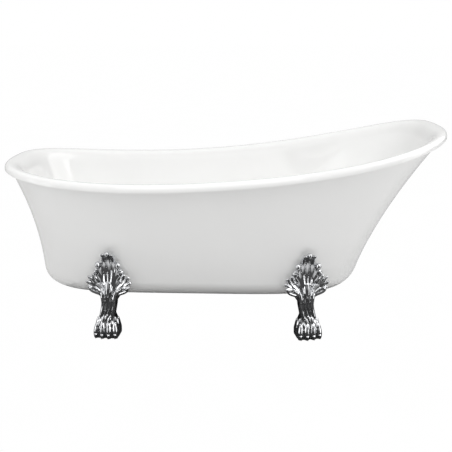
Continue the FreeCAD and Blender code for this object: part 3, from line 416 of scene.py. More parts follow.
def only(obj):
    nothing_selected()
    obj.select_set(True)
    bpy.context.view_layer.objects.active = obj
    return obj


def applied(obj, kind, **settings):
    """Adds a modifier with its settings and applies it."""
    only(obj)
    modifier = obj.modifiers.new(kind.title(), kind)
    for key, value in settings.items():
        setattr(modifier, key, value)
    bpy.ops.object.modifier_apply(modifier=modifier.name)
    return obj


def linked(name, data):
    """A new object in the scene."""
    obj = bpy.data.objects.new(name, data)
    bpy.context.scene.collection.objects.link(obj)
    return obj


def settled(obj):
    """Puts the object at the origin, unturned and unscaled, with its place in its mesh."""
    only(obj)
    bpy.ops.object.transform_apply(location=True, rotation=True, scale=True)
    return obj


def wrapped_sheet(name, surface, steps, around):
    """A sheet of quads wrapped round the tub: a grid whose rows become the surface's rings, closed at the seam
    and across its flat bottom. steps gives the rows in each stretch of the surface."""
    rows = [stretch + i / count for stretch, count in enumerate(steps) for i in range(count)] + [float(len(steps))]
    nothing_selected()
    bpy.ops.mesh.primitive_grid_add(x_subdivisions=around, y_subdivisions=len(rows) - 1, size=2)
    obj = bpy.context.object
    obj.name = obj.data.name = name
    bpy.ops.object.mode_set(mode="EDIT")
    mesh = bmesh.from_edit_mesh(obj.data)
    for vert in mesh.verts:
        phi = vert.co.x * math.pi
        row = round((vert.co.y + 1) / 2 * (len(rows) - 1))
        vert.co = surface(phi, rows[row])
    bmesh.update_edit_mesh(obj.data)
    bpy.ops.mesh.select_all(action="SELECT")
    bpy.ops.mesh.remove_doubles(threshold=1e-5)
    mesh = bmesh.from_edit_mesh(obj.data)
    floor = min(v.co.z for v in mesh.verts) + 1e-5
    bpy.ops.mesh.select_all(action="DESELECT")
    for edge in mesh.edges:
        if edge.is_boundary and all(v.co.z < floor for v in edge.verts):
            edge.select_set(True)
    bmesh.update_edit_mesh(obj.data)
    bpy.ops.mesh.edge_face_add()
    bpy.ops.mesh.select_all(action="SELECT")
    bpy.ops.mesh.normals_make_consistent(inside=False)
    bpy.ops.object.mode_set(mode="OBJECT")
    return obj


def stacked(name, sections, around=40):
    """A closed block through level sections, each (height, width, depth, forward, squareness) in millimetres."""
    nothing_selected()
    bpy.ops.mesh.primitive_circle_add(vertices=around, radius=1, fill_type="NGON")
    obj = bpy.context.object
    obj.name = name
    bpy.ops.object.mode_set(mode="EDIT")
    bpy.ops.mesh.select_all(action="SELECT")
    last_width = last_depth = 1
    for i, (height, width, depth, forward, squareness) in enumerate(sections):
        if i:
            bpy.ops.mesh.extrude_region_move()
        mesh = bmesh.from_edit_mesh(obj.data)
        ring = [v for v in mesh.verts if v.select]
        middle = sum((v.co for v in ring), Vector()) / len(ring)
        for vert in ring:
            turn = math.atan2((vert.co.y - middle.y) / last_depth, (vert.co.x - middle.x) / last_width)
            c, sine = math.cos(turn), math.sin(turn)
            rho = (abs(c) ** squareness + abs(sine) ** squareness) ** (-1 / squareness)
            vert.co = Vector((rho * c * width / 2, rho * sine * depth / 2 - forward, height)) * MM
        bmesh.update_edit_mesh(obj.data)
        last_width, last_depth = width, depth
    bpy.ops.mesh.select_all(action="SELECT")
    bpy.ops.mesh.normals_make_consistent(inside=False)
    bpy.ops.object.mode_set(mode="OBJECT")
    return obj


def fingers(name, lines):
    """Round tapering fingers, one through each line of (across, height, out, radius) points in millimetres."""
    nothing_selected()
    curve = bpy.data.curves.new(name, "CURVE")
    curve.dimensions = "3D"
    curve.bevel_depth = MM
    curve.bevel_resolution = 3
    curve.resolution_u = 8
    curve.use_fill_caps = True
    for line in lines:
        spline = curve.splines.new("NURBS")
        spline.points.add(len(line) - 1)
        for point, (across, height, out, radius) in zip(spline.points, line):
            point.co = (across * MM, -out * MM, height * MM, 1)
            point.radius = radius
        spline.order_u = 3
        spline.use_endpoint_u = True
    only(linked(name, curve))
    bpy.ops.object.convert(target="MESH")
    return bpy.context.object


def mirrored_lines(lines):
    """The same lines on both sides of the middle."""
    return lines + [[(-u, z, w, r) for u, z, w, r in line] for line in lines]


def joined(name, pieces):
    nothing_selected()
    for piece in pieces:
        piece.select_set(True)
    bpy.context.view_layer.objects.active = pieces[0]
    bpy.ops.object.join()
    obj = bpy.context.object
    obj.name = obj.data.name = name
    return obj


def facing(obj, towards):
    """Turns the sheet's faces so that the flat bottom faces up, 1, or down, -1."""
    bottom = max(obj.data.polygons, key=lambda p: p.area)
    if bottom.normal.z * towards < 0:
        only(obj)
        bpy.ops.object.mode_set(mode="EDIT")
        bpy.ops.mesh.select_all(action="SELECT")
        bpy.ops.mesh.flip_normals()
        bpy.ops.object.mode_set(mode="OBJECT")


def drilled(obj, place, direction, radius, depth, sides=64):
    """Cuts a round hole through a wall."""
    nothing_selected()
    bpy.ops.mesh.primitive_cylinder_add(vertices=sides, radius=radius, depth=depth, location=place)
    drill = bpy.context.object
    drill.rotation_euler = Vector(direction).to_track_quat("Z", "Y").to_euler()
    bpy.context.view_layer.update()
    applied(obj, "BOOLEAN", object=drill, operation="DIFFERENCE", solver="EXACT")
    bpy.data.objects.remove(drill)


def smooth(obj, degrees=40):
    only(obj)
    bpy.ops.object.shade_smooth_by_angle(angle=math.radians(degrees))


def placed(obj, body, slot, material, *stands_for):
    """Gives a finished piece its body, its finish and the frame nodes that it stands for."""
    obj.data.materials.clear()
    obj.data.materials.append(material)
    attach(obj, body)
    if stands_for:
        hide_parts(*stands_for)


# ---------------------------------------------------------------- finishes

def node(material, kind, links=None, stops=None, **settings):
    """Adds a shader node. Settings go on the node itself where it has such a setting, or else on its sockets, and
    stops, each (place, colour), on a colour ramp."""
    tree = material.node_tree
    made = tree.nodes.new(kind)
    for i, (place, colour) in enumerate(stops or ()):
        elements = made.color_ramp.elements
        element = elements[i] if i < 2 else elements.new(place)
        element.position, element.color = place, colour
    for key, value in settings.items():
        if hasattr(made, key):
            setattr(made, key, value)
        else:
            made.inputs[key.replace("_", " ")].default_value = value
    for socket, source in (links or {}).items():
        tree.links.new(source, made.inputs[socket])
    return made


def blank(name):
    """An empty material, and the Object coordinates that its patterns read."""
    material = bpy.data.materials.new(name)
    material.use_nodes = True
    material.node_tree.nodes.clear()
    return material, node(material, "ShaderNodeTexCoord").outputs["Object"]


def shaded(material, shader):
    node(material, "ShaderNodeOutputMaterial", {"Surface": shader.outputs[0]})
    return material


def finished(material, tint, gloss, bump, **settings):
    """Ends a finish: its colour, gloss and relief meet in one shader, with the numbers that are the same all over."""
    shader = node(material, "ShaderNodeBsdfPrincipled", {"Base Color": tint, "Roughness": gloss.outputs["Result"],
                                                         "Normal": bump.outputs["Normal"]}, **settings)
    return shaded(material, shader)


def rgba(colour, factor=1.0):
    return tuple(min(1.0, c * factor) for c in colour) + (1.0,)


def cast_acrylic(colour):
    """Cast acrylic sheet, vacuum-formed and glossy: a clear reflection, broken slightly by the sheet's long waves."""
    m, place = blank("cast_acrylic_sheet")
    # Waves about 250 mm long, from the stretch of the sheet, and haze in patches of 55 mm.
    wave = node(m, "ShaderNodeTexNoise", {"Vector": place}, Scale=4.0, Detail=1.0, Roughness=0.4)
    tint = node(m, RAMP, {"Fac": wave.outputs["Fac"]}, [(0.3, rgba(colour, 0.985)), (0.7, rgba(colour))])
    haze = node(m, "ShaderNodeTexNoise", {"Vector": place}, Scale=18.0, Detail=2.0)
    gloss = node(m, "ShaderNodeMapRange", {"Value": haze.outputs["Fac"]}, To_Min=0.05, To_Max=0.085)
    bump = node(m, "ShaderNodeBump", {"Height": wave.outputs["Fac"]}, Strength=0.12, Distance=0.0006)
    return finished(m, tint.outputs["Color"], gloss, bump, IOR=1.49)


def chrome_plate(colour):
    """Bright chrome on a polished casting: a sharp mirror with faint polishing ripple."""
    m, place = blank("chrome_plated_casting")
    # Ripple about 6 mm long, as the polishing wheel leaves it.
    ripple = node(m, "ShaderNodeTexNoise", {"Vector": place}, Scale=160.0, Detail=2.0)
    tint = node(m, RAMP, {"Fac": ripple.outputs["Fac"]}, [(0.3, rgba(colour, 0.94)), (0.7, rgba(colour))])
    gloss = node(m, "ShaderNodeMapRange", {"Value": ripple.outputs["Fac"]}, To_Min=0.03, To_Max=0.06)
    bump = node(m, "ShaderNodeBump", {"Height": ripple.outputs["Fac"]}, Strength=0.05, Distance=0.0004)
    return finished(m, tint.outputs["Color"], gloss, bump, Metallic=1.0)


def zinc_plate(colour):
    """Bright zinc plate on mild steel: satin grey, with the soft cloudy spangle that plating leaves."""
    m, place = blank("zinc_plated_steel")
    # Spangles of 9 mm, and a grain of 2 mm that is coarser than the real one so that it shows.
    cloud = node(m, "ShaderNodeTexVoronoi", {"Vector": place}, Scale=110.0)
    tint = node(m, RAMP, {"Fac": cloud.outputs["Distance"]}, [(0.1, rgba(colour, 0.82)), (0.8, rgba(colour))])
    fine = node(m, "ShaderNodeTexNoise", {"Vector": place}, Scale=500.0, Detail=3.0)
    gloss = node(m, "ShaderNodeMapRange", {"Value": fine.outputs["Fac"]}, To_Min=0.28, To_Max=0.45)
    bump = node(m, "ShaderNodeBump", {"Height": fine.outputs["Fac"]}, Strength=0.15, Distance=0.0003)
    return finished(m, tint.outputs["Color"], gloss, bump, Metallic=1.0)


def moulded_rubber(colour):
    """Moulded nitrile rubber: dull black with a fine stipple and a dusty grey bloom."""
    m, place = blank("moulded_nitrile_rubber")
    # Bloom in patches of 17 mm, and a stipple of 1.1 mm that is coarser than the real one so that it shows.
    bloom = node(m, "ShaderNodeTexNoise", {"Vector": place}, Scale=60.0, Detail=4.0)
    tint = node(m, RAMP, {"Fac": bloom.outputs["Fac"]}, [(0.35, rgba(colour)), (0.75, rgba(colour, 1.9))])
    stipple = node(m, "ShaderNodeTexNoise", {"Vector": place}, Scale=900.0, Detail=2.0)
    gloss = node(m, "ShaderNodeMapRange", {"Value": bloom.outputs["Fac"]}, To_Min=0.65, To_Max=0.9)
    bump = node(m, "ShaderNodeBump", {"Height": stipple.outputs["Fac"]}, Strength=0.3, Distance=0.0004)
    return finished(m, tint.outputs["Color"], gloss, bump, IOR=1.52)


def moulded_polypropylene(colour):
    """Injection-moulded polypropylene: waxy off-white with a fine spark-eroded texture."""
    m, place = blank("moulded_polypropylene")
    # Flow marks of 45 mm, and a grain of 0.9 mm that is coarser than the real one so that it shows.
    flow = node(m, "ShaderNodeTexNoise", {"Vector": place}, Scale=22.0, Detail=2.0)
    tint = node(m, RAMP, {"Fac": flow.outputs["Fac"]}, [(0.3, rgba(colour, 0.93)), (0.7, rgba(colour))])
    grain = node(m, "ShaderNodeTexNoise", {"Vector": place}, Scale=1100.0, Detail=2.0)
    gloss = node(m, "ShaderNodeMapRange", {"Value": grain.outputs["Fac"]}, To_Min=0.38, To_Max=0.5)
    bump = node(m, "ShaderNodeBump", {"Height": grain.outputs["Fac"]}, Strength=0.15, Distance=0.0002)
    return finished(m, tint.outputs["Color"], gloss, bump, IOR=1.49)


def turned_brass(colour):
    """Turned brass: warm yellow metal with the fine rings that the lathe leaves along its height."""
    m, place = blank("turned_brass")
    # Rings 1 mm apart, coarser than the real ones so that they show.
    rings = node(m, "ShaderNodeTexWave", {"Vector": place}, wave_type="BANDS", bands_direction="Z", Scale=320.0,
                 Distortion=0.6)
    tint = node(m, RAMP, {"Fac": rings.outputs["Fac"]}, [(0.2, rgba(colour, 0.85)), (0.8, rgba(colour))])
    gloss = node(m, "ShaderNodeMapRange", {"Value": rings.outputs["Fac"]}, To_Min=0.2, To_Max=0.34)
    bump = node(m, "ShaderNodeBump", {"Height": rings.outputs["Fac"]}, Strength=0.2, Distance=0.0002)
    return finished(m, tint.outputs["Color"], gloss, bump, Metallic=1.0)


def sanded_plywood(colour):
    """Sanded birch plywood: pale long grain along the board, and thin darker glue lines up its edge."""
    m, place = blank("sanded_birch_plywood")
    stretched = node(m, "ShaderNodeMapping", {"Vector": place}, Scale=(4.0, 60.0, 60.0))
    grain = node(m, "ShaderNodeTexNoise", {"Vector": stretched.outputs["Vector"]}, Scale=3.0, Detail=6.0)
    wood = node(m, RAMP, {"Fac": grain.outputs["Fac"]}, [(0.35, rgba(colour, 0.78)), (0.65, rgba(colour))])
    # Glue lines 5 mm apart, coarser than the real plies so that they show.
    plies = node(m, "ShaderNodeTexWave", {"Vector": place}, wave_type="BANDS", bands_direction="Z", Scale=63.0)
    glue = node(m, RAMP, {"Fac": plies.outputs["Fac"]}, [(0.0, (0.55, 0.5, 0.45, 1)), (0.18, (1, 1, 1, 1))])
    tint = node(m, "ShaderNodeMix", {6: wood.outputs["Color"], 7: glue.outputs["Color"]}, data_type="RGBA",
                blend_type="MULTIPLY", Factor=1.0)
    gloss = node(m, "ShaderNodeMapRange", {"Value": grain.outputs["Fac"]}, To_Min=0.6, To_Max=0.75)
    bump = node(m, "ShaderNodeBump", {"Height": grain.outputs["Fac"]}, Strength=0.25, Distance=0.0004)
    return finished(m, tint.outputs[2], gloss, bump, IOR=1.5)


# ---------------------------------------------------------------- pieces

def tub_form():
    return TubForm(bpy.context.scene.tub_sizes)


def made_material(build, colour_name):
    """The material for a finish, made once."""
    key = build.__name__
    for material in bpy.data.materials:
        if material.get("recipe") == key:
            return material
    material = build(getattr(bpy.context.scene.bath_finishes, colour_name))
    material["recipe"] = key
    return material


def centre_of(node_name):
    low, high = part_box(node_name)
    return (low + high) / 2


OVERFLOW_AXIS = (0.9527, 0, 0.3041)     # square to the foot end's wall where the overflow sits


class BATH_OT_inner_shell(bpy.types.Operator):
    """Models the inner shell: well, wall, rolled rim and lip, drilled for the waste and the overflow"""

    bl_idname = "bath.inner_shell"
    bl_label = "Inner shell"

    def execute(self, context):
        sizes, form = context.scene.tub_sizes, tub_form()
        shell = wrapped_sheet("tub_inner_shell", form.shell_ring, (10, 22, 12, 8, 2), sizes.around)
        facing(shell, 1)
        applied(shell, "SOLIDIFY", thickness=sizes.shell_wall, offset=-1, use_even_offset=True)
        waste = centre_of("waste_flange")
        drilled(shell, (waste.x, waste.y, sizes.well_floor), (0, 0, 1), sizes.waste_hole, 10 * sizes.shell_wall)
        cup = centre_of("overflow_face")
        drilled(shell, (cup.x, 0, cup.z), OVERFLOW_AXIS, sizes.overflow_hole, 10 * sizes.shell_wall)
        applied(shell, "BEVEL", width=EDGE_BREAK, segments=2, limit_method="ANGLE", angle_limit=math.radians(50))
        smooth(shell)
        placed(shell, BATH, "white_acrylic", made_material(cast_acrylic, "acrylic"), "inner_shell")
        return {"FINISHED"}


class BATH_OT_outer_skin(bpy.types.Operator):
    """Models the outer skin: flat bottom, fillet and flared wall, tucked up behind the lip"""

    bl_idname = "bath.outer_skin"
    bl_label = "Outer skin"

    def execute(self, context):
        sizes, form = context.scene.tub_sizes, tub_form()
        skin = wrapped_sheet("tub_outer_skin", form.skin_ring, (10, 24, 2), sizes.around)
        facing(skin, -1)
        applied(skin, "SOLIDIFY", thickness=sizes.skin_wall, offset=-1, use_even_offset=True)
        tail = centre_of("waste_tail")
        drilled(skin, (tail.x, tail.y, sizes.underside), (0, 0, 1), sizes.tail_hole, 8 * sizes.skin_wall)
        for end in ("left", "right"):
            low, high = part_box("mounting_plate_front_" + end)
            for sign in (1, -1):
                drilled(skin, ((low.x + high.x) / 2, sign * (low.y + high.y) / 2, sizes.underside), (0, 0, 1),
                        sizes.stud_hole, 8 * sizes.skin_wall, 32)
        applied(skin, "BEVEL", width=EDGE_BREAK, segments=2, limit_method="ANGLE", angle_limit=math.radians(50))
        smooth(skin)
        placed(skin, BATH, "white_acrylic", made_material(cast_acrylic, "acrylic"), "outer_skin")
        return {"FINISHED"}


# The foot's lines, on the right-hand side of a foot that faces the reader: across, height, out and radius, in
# millimetres. The other side mirrors them.
TONGUE_EDGE = [(8, 190, 38, 7), (12, 222, 24, 9), (16, 262, 17, 9.5), (18, 300, 16, 9.5), (18, 326, 20, 10),
               (18, 346, 30, 9), (17, 343, 40, 7)]
UPPER_CURL = [[(10, 205, 26, 9), (19, 238, 14, 13), (27, 266, 13, 14), (34, 290, 16, 12), (39, 307, 26, 11),
               (40, 298, 37, 9.5), (37, 290, 37, 6)]]
MIDDLE_LEAF = [[(8, 196, 28, 10), (22, 228, 13, 16), (36, 250, 11, 17), (48, 266, 15, 12), (53, 274, 26, 7),
                (50, 268, 34, 4)],
               [(40, 250, 16, 9), (46, 272, 22, 8), (47, 282, 31, 5)]]
LOWER_LOBE = [[(14, 176, 26, 11), (36, 196, 15, 17), (54, 212, 13, 19), (66, 222, 16, 14)],
              [(48, 226, 17, 11), (58, 246, 21, 9), (61, 262, 31, 4.5)],
              [(56, 220, 19, 11), (71, 240, 24, 9), (79, 253, 34, 4.5)],
              [(58, 210, 20, 11), (75, 222, 27, 9), (86, 232, 37, 4.5)],
              [(54, 202, 22, 10), (70, 206, 29, 8.5), (82, 211, 38, 4.5)]]
SCROLLS = [[(22, 146, 18, 7), (25, 162, 20, 7), (36, 178, 24, 7.5), (54, 186, 28, 8), (69, 194, 32, 7),
            (75, 204, 37, 5), (66, 207, 41, 3)],
           [(20, 160, 36, 5), (26, 180, 34, 5), (40, 196, 32, 5), (52, 204, 35, 4.5), (54, 211, 39, 2.5)]]
LEG_RIBS = [[(6.8, 84, 38, 4.6), (6.5, 120, 39, 4.6), (6.5, 149, 40, 4.6)],
            [(6.8, 150, 40.5, 5), (7, 170, 42, 6), (9, 192, 38, 6)],
            [(21.5, 86, 33, 9), (21, 120, 33, 9), (21, 149, 34, 9)],
            [(21, 150, 35, 9.2), (22, 168, 36, 9.6), (26, 186, 31, 9), (33, 200, 24, 6)]]
MIDDLE_LINES = [[(0, 200, 38, 7), (0, 230, 21, 9), (0, 265, 16, 9.5), (0, 305, 16, 9.5), (0, 332, 20, 9.5),
                 (0, 353, 29, 9), (0, 351, 41, 8), (0, 341, 43, 5)],
                [(0, 226, 26, 13), (0, 204, 35, 14), (0, 180, 43, 11), (0, 156, 46, 3)]]
TOES = [[(11.5, 62, 42, 8), (12.2, 46, 50, 10.5), (12.6, 30, 55, 11.5), (12.8, 14, 56, 11), (12.8, 4, 55, 9)],
        [(34, 60, 36, 8), (36, 46, 45, 10.5), (37.5, 30, 50, 11.5), (38, 14, 51, 11), (38, 4, 50, 9)],
        [(12.8, 22, 65, 5.5), (12.8, 12, 69, 4.5), (12.8, 4.5, 69, 1)],
        [(38, 22, 60, 5.5), (38, 12, 64, 4.5), (38, 4.5, 64, 1)]]
KNUCKLES = [[(12, 60, 47, 7), (12, 52, 52, 8.5), (12, 45, 56, 4)],
            [(35, 59, 41, 7), (35.5, 51, 47, 8.5), (36, 44, 51, 4)],
            [(23, 68, 41, 5.5), (23.5, 60, 46, 7), (24, 52, 49, 3)]]
FUR = [[(12, 86, 37, 6), (12, 76, 42, 8), (12, 67, 46, 3)], [(32, 82, 29, 6), (33, 72, 34, 8), (34, 62, 39, 3)],
       [(0.1, 94, 37, 5), (0.1, 84, 42, 6.5), (0.1, 75, 46, 2)],
       [(23, 94, 32, 5), (23.5, 85, 36, 6.5), (24, 76, 40, 2)],
       [(37, 70, 16, 6), (40, 50, 20, 8), (42, 28, 22, 9)], [(35, 70, -2, 6), (38, 50, -2, 8), (40, 26, -2, 9)]]
LEG_FORWARD = 14            # the leg's middle out from the skin's foot
LUG_CLEARANCE = 0.8 * MM    # the skin's flat bottom to the top of the lug
# The cores' level sections: height, width, depth, forward and squareness.
LEG_CORE = [(58, 56, 52, LEG_FORWARD, 4), (88, 56, 48, LEG_FORWARD, 4), (120, 55, 47, LEG_FORWARD, 4),
            (150, 56, 48, LEG_FORWARD, 4), (184, 56, 46, LEG_FORWARD, 3), (206, 44, 36, 12, 2.6), (222, 30, 20, 8, 2.4)]
PAW_CORE = [(3, 94, 84, 13, 5), (26, 95, 86, 13, 5), (54, 86, 78, 13, 4.5), (74, 70, 64, 13, 4), (94, 54, 48, 14, 4)]


class BATH_OT_feet(bpy.types.Operator):
    """Models one cast foot flat, then sets a copy of it to the tub's side at each corner"""

    bl_idname = "bath.feet"
    bl_label = "Paw feet"

    def execute(self, context):
        sizes, tub, form = context.scene.foot_sizes, context.scene.tub_sizes, tub_form()
        chrome = made_material(chrome_plate, "chrome")
        x_places = {"left": (-form.base_left + sizes.left_setback, sizes.left_lean),
                    "right": (form.base_right - sizes.right_setback, -sizes.right_lean)}
        casting = self.flat_casting(sizes, tub)
        for end, (x, lean) in x_places.items():
            pad, plate = centre_of("leveller_pad_front_" + end), centre_of("mounting_plate_front_" + end)
            place = FootPlace(form, x, lean, sizes.paw_aside, Vector((pad.x, pad.y, 0)))
            front = linked("cast_foot_front_" + end, casting.data.copy())
            for vert in front.data.vertices:
                vert.co = place.carried(vert.co, sizes)
            stud = (plate.x, plate.y, tub.underside)
            drilled(front, stud, (0, 0, 1), tub.stud_hole, 4 * sizes.ledge_thickness, 32)
            drilled(front, (pad.x, pad.y, 0), (0, 0, 1), sizes.pad_recess, 2 * sizes.recess_height, 48)
            drilled(front, (pad.x, pad.y, 0), (0, 0, 1), sizes.screw_bore, 2 * sizes.bore_top, 32)
            back = linked("cast_foot_back_" + end, front.data.copy())
            for vert in back.data.vertices:
                vert.co.y *= -1
            back.data.flip_normals()
            for side, foot in (("front", front), ("back", back)):
                foot.data.name = foot.name
                smooth(foot, 60)
                placed(foot, BATH, "chrome", chrome, "paw_foot_%s_%s" % (side, end))
        bpy.data.objects.remove(casting)
        return {"FINISHED"}

    @staticmethod
    def flat_casting(sizes, tub):
        """The foot as if the tub's side were flat: x across, -y out, z up."""
        lines = mirrored_lines([TONGUE_EDGE] + UPPER_CURL + MIDDLE_LEAF + LOWER_LOBE + SCROLLS + LEG_RIBS + TOES
                               + KNUCKLES + FUR) + MIDDLE_LINES
        pieces = [fingers("leaf_fingers", lines), stacked("leg_core", LEG_CORE), stacked("paw_core", PAW_CORE)]
        back, front = tub.stud_inset + sizes.ledge_width / 2, LEG_FORWARD * MM
        middle = tub.underside - LUG_CLEARANCE / 2 - sizes.ledge_thickness / 2
        nothing_selected()
        bpy.ops.mesh.primitive_cube_add(size=1, location=(0, (back - front) / 2, middle),
                                        scale=(sizes.ledge_width, back + front,
                                               sizes.ledge_thickness - LUG_CLEARANCE))
        ledge = settled(bpy.context.object)
        applied(ledge, "BEVEL", width=3 * MM, segments=2)
        casting = joined("flat_casting", pieces + [ledge])
        applied(casting, "REMESH", mode="VOXEL", voxel_size=sizes.grain)
        return applied(casting, "SMOOTH", factor=0.5, iterations=6)


class BATH_OT_fittings(bpy.types.Operator):
    """Gives the fittings that keep their frame shapes the finish that their record names"""

    bl_idname = "bath.fittings"
    bl_label = "Fittings"

    def execute(self, context):
        finishes = {"chrome": (chrome_plate, "chrome"), "zinc_plated_steel": (zinc_plate, "zinc"),
                    "black_rubber": (moulded_rubber, "rubber"), "white_plastic": (moulded_polypropylene, "moulding"),
                    "brass": (turned_brass, "brass"), "plywood": (sanded_plywood, "plywood"),
                    "white_acrylic": (cast_acrylic, "acrylic")}
        for part in frame["record"]["subparts"]:
            slots = frame["nodes"][part["node"]].data.materials
            slots.clear()
            slots.append(made_material(*finishes[part["material_slot"]]))
        return {"FINISHED"}


class BATH_OT_studio(bpy.types.Operator):
    """Sets the floor, the lights, a dark card of painted shade under the tub, and the camera"""

    bl_idname = "bath.studio"
    bl_label = "Studio"

    def execute(self, context):
        studio = context.scene.bath_studio
        white = studio_paint("studio_floor_white", (grey(0.995), grey(1.0)), "ShaderNodeEmission")
        matt = studio_paint("studio_floor_matt", (grey(0.98 * studio.floor), grey(studio.floor)))
        # The shade card is painted shade: a dark sheet on the floor under and before the tub, unseen by the camera,
        # standing in for the floor's shade beneath the tub in the lower skin and the chrome.
        painted_shade = studio_paint("shade_card_felt", (grey(0.05), grey(0.07)), scale=200.0)
        seen_by(studio_sheet("studio_floor", FLOOR_SIZE, FLOOR_PLACE, white), "camera")
        seen_by(studio_sheet("studio_floor_bounce", FLOOR_SIZE, FLOOR_PLACE, matt), "diffuse", "shadow")
        seen_by(studio_sheet("shade_card", (1.3, 0.78), (-0.08, -0.11, 0.001), painted_shade),
                "diffuse", "glossy", "transmission")
        context.scene.world = studio_world(studio)
        softbox("key_box", (0.1, -1.35, 2.35), (0, 0, 0.5), (3.2, 1.0), studio.key, True, False)
        for box in SOFTBOXES:
            softbox(*box)
        camera = bpy.data.cameras.new("camera")
        camera.lens = studio.lens
        camera.sensor_width = 36
        camera.clip_end = 200
        eye = linked("camera", camera)
        eye.location = studio.camera_place
        eye.rotation_euler = (math.pi / 2 - studio.camera_pitch, 0, studio.camera_yaw)
        context.scene.camera = eye
        context.scene.view_settings.view_transform = "Standard"
        return {"FINISHED"}


FLOOR_SIZE, FLOOR_PLACE = (80, 80), (0, 10, 0)
# Name, place, what it faces, width and height, brightness, and whether it lights and is reflected. The strips make
# the bright lines in the chrome.
SOFTBOXES = (
    ("front_box", (-0.06, -0.31, 0.90), (-0.06, 0.28, 0.55), (0.69, 0.52), 1.5, False, True),
    ("thin_box", (0.335, -0.31, 0.90), (0.335, 0.28, 0.55), (0.012, 0.6), 2.0, False, True),
    ("side_box", (1.7, 0.0, 2.5), (-0.7, 0.1, 0.6), (3.2, 3.0), 2.6, False, True),
    ("left_fill", (-3.0, -0.6, 0.7), (0, 0, 0.4), (1.5, 1.5), 0.7, True, True),
    ("right_fill", (3.0, -0.6, 0.7), (0, 0, 0.4), (1.5, 1.5), 0.7, True, True),
    ("left_strip", (-2.9, -1.8, 0.5), (0, -0.3, 0.2), (1.2, 3.0), 2.2, False, True),
    ("right_strip", (2.9, -1.8, 0.5), (0, -0.3, 0.2), (1.2, 3.0), 2.2, False, True))


def grey(value):
    return (value, value, value, 1)


def studio_paint(name, greys, kind="ShaderNodeBsdfDiffuse", scale=3.0):
    """A slightly mottled finish for the studio's sheets."""
    m, place = blank(name)
    mottle = node(m, "ShaderNodeTexNoise", {"Vector": place}, Scale=scale)
    tint = node(m, RAMP, {"Fac": mottle.outputs["Fac"]}, zip((0.3, 0.7), greys))
    return shaded(m, node(m, kind, {"Color": tint.outputs["Color"]}))


def studio_sheet(name, size, place, paint):
    nothing_selected()
    bpy.ops.mesh.primitive_plane_add(size=1, location=place)
    sheet = bpy.context.object
    sheet.name = name
    sheet.scale = (size[0], size[1], 1)
    settled(sheet).data.materials.append(paint)
    return sheet


def seen_by(obj, *rays):
    for ray in ("camera", "diffuse", "glossy", "transmission", "shadow"):
        setattr(obj, "visible_" + ray, ray in rays)


def studio_world(studio):
    """A white cyclorama: bright overhead and dimmer towards the floor, with the dark of the room in sharp reflections
    of the front and its lighter wall in those of the back."""
    world = bpy.data.worlds.new("studio_cyclorama")
    world.use_nodes = True
    world.node_tree.nodes.clear()
    way = node(world, "ShaderNodeSeparateXYZ", {"Vector": node(world, "ShaderNodeTexCoord").outputs["Generated"]})
    up = node(world, "ShaderNodeMapRange", {"Value": way.outputs["Z"]}, From_Min=-1.0).outputs["Result"]
    behind = node(world, "ShaderNodeMapRange", {"Value": way.outputs["Y"]}, From_Min=0.1, From_Max=0.6)
    ramps = [node(world, RAMP, {"Fac": up}, [(place, grey(value)) for place, value in stops])
             for stops in (SOFT_LIGHT, DARK_ROOM, BACK_WALL)]
    soft, room, wall = (made.outputs["Color"] for made in ramps)
    sharp = node(world, "ShaderNodeMix", {"Factor": behind.outputs["Result"], 6: room, 7: wall}, data_type="RGBA")
    rays = node(world, "ShaderNodeLightPath")
    light = node(world, "ShaderNodeBackground", {"Color": soft}, Strength=studio.sky)
    mirrored = node(world, "ShaderNodeBackground", {"Color": sharp.outputs[2]}, Strength=studio.room)
    white = node(world, "ShaderNodeBackground", Color=grey(1.0), Strength=1.0)
    lit = node(world, "ShaderNodeMixShader",
               {"Fac": rays.outputs["Is Glossy Ray"], 1: light.outputs[0], 2: mirrored.outputs[0]})
    seen = node(world, "ShaderNodeMixShader",
                {"Fac": rays.outputs["Is Camera Ray"], 1: lit.outputs[0], 2: white.outputs[0]})
    node(world, "ShaderNodeOutputWorld", {"Surface": seen.outputs[0]})
    return world


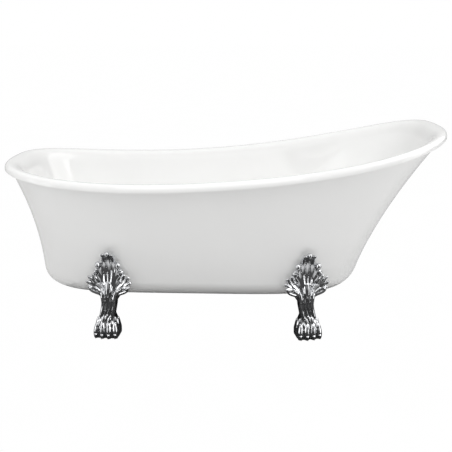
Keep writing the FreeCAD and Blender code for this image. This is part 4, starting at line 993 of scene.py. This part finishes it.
# Brightness from straight down, 0, past the horizon, 0.5, to straight up, 1.
SOFT_LIGHT = ((0.0, 0.3), (0.5, 0.16), (0.65, 0.3), (0.85, 0.92), (1.0, 1.05))
DARK_ROOM = ((0.0, 0.6), (0.17, 0.8), (0.25, 0.09), (0.57, 0.07), (0.63, 0.3), (0.78, 0.35), (0.83, 1.1))
BACK_WALL = ((0.0, 0.6), (0.5, 0.38), (0.7, 0.5), (0.9, 0.9))


def softbox(name, place, target, size, brightness, lights, reflected):
    """A rectangular light of an even brightness, which the camera doesn't see."""
    light = bpy.data.lights.new(name, "AREA")
    light.shape = "RECTANGLE"
    light.size, light.size_y = size
    light.energy = brightness * math.pi * size[0] * size[1]
    lamp = linked(name, light)
    lamp.location = place
    lamp.rotation_euler = (Vector(place) - Vector(target)).to_track_quat("Z", "Y").to_euler()
    lamp.visible_camera, lamp.visible_diffuse, lamp.visible_glossy = False, lights, reflected


class BATH_PT_panel(bpy.types.Panel):
    """Lists the bath's pieces"""

    bl_label = "Slipper Bath"
    bl_idname = "BATH_PT_panel"
    bl_space_type = "VIEW_3D"
    bl_region_type = "UI"
    bl_category = "Bath"

    def draw(self, context):
        for operator in OPERATORS:
            self.layout.operator(operator.bl_idname)
        for name, group in GROUPS.items():
            box = self.layout.box()
            for key in group.__annotations__:
                box.prop(getattr(context.scene, name), key)


OPERATORS = (BATH_OT_fittings, BATH_OT_inner_shell, BATH_OT_outer_skin, BATH_OT_feet, BATH_OT_studio)
GROUPS = {"tub_sizes": TubSizes, "foot_sizes": FootSizes, "bath_finishes": Finishes, "bath_studio": Studio}
CLASSES = tuple(GROUPS.values()) + OPERATORS + (BATH_PT_panel,)


def register():
    for cls in CLASSES:
        bpy.utils.register_class(cls)
    for name, group in GROUPS.items():
        setattr(bpy.types.Scene, name, PointerProperty(type=group))


def unregister():
    for name in GROUPS:
        delattr(bpy.types.Scene, name)
    for cls in reversed(CLASSES):
        bpy.utils.unregister_class(cls)


def main():
    register()
    bpy.ops.bath.fittings()
    bpy.ops.bath.inner_shell()
    bpy.ops.bath.outer_skin()
    bpy.ops.bath.feet()
    bpy.ops.bath.studio()


if __name__ == "__main__":
    main()
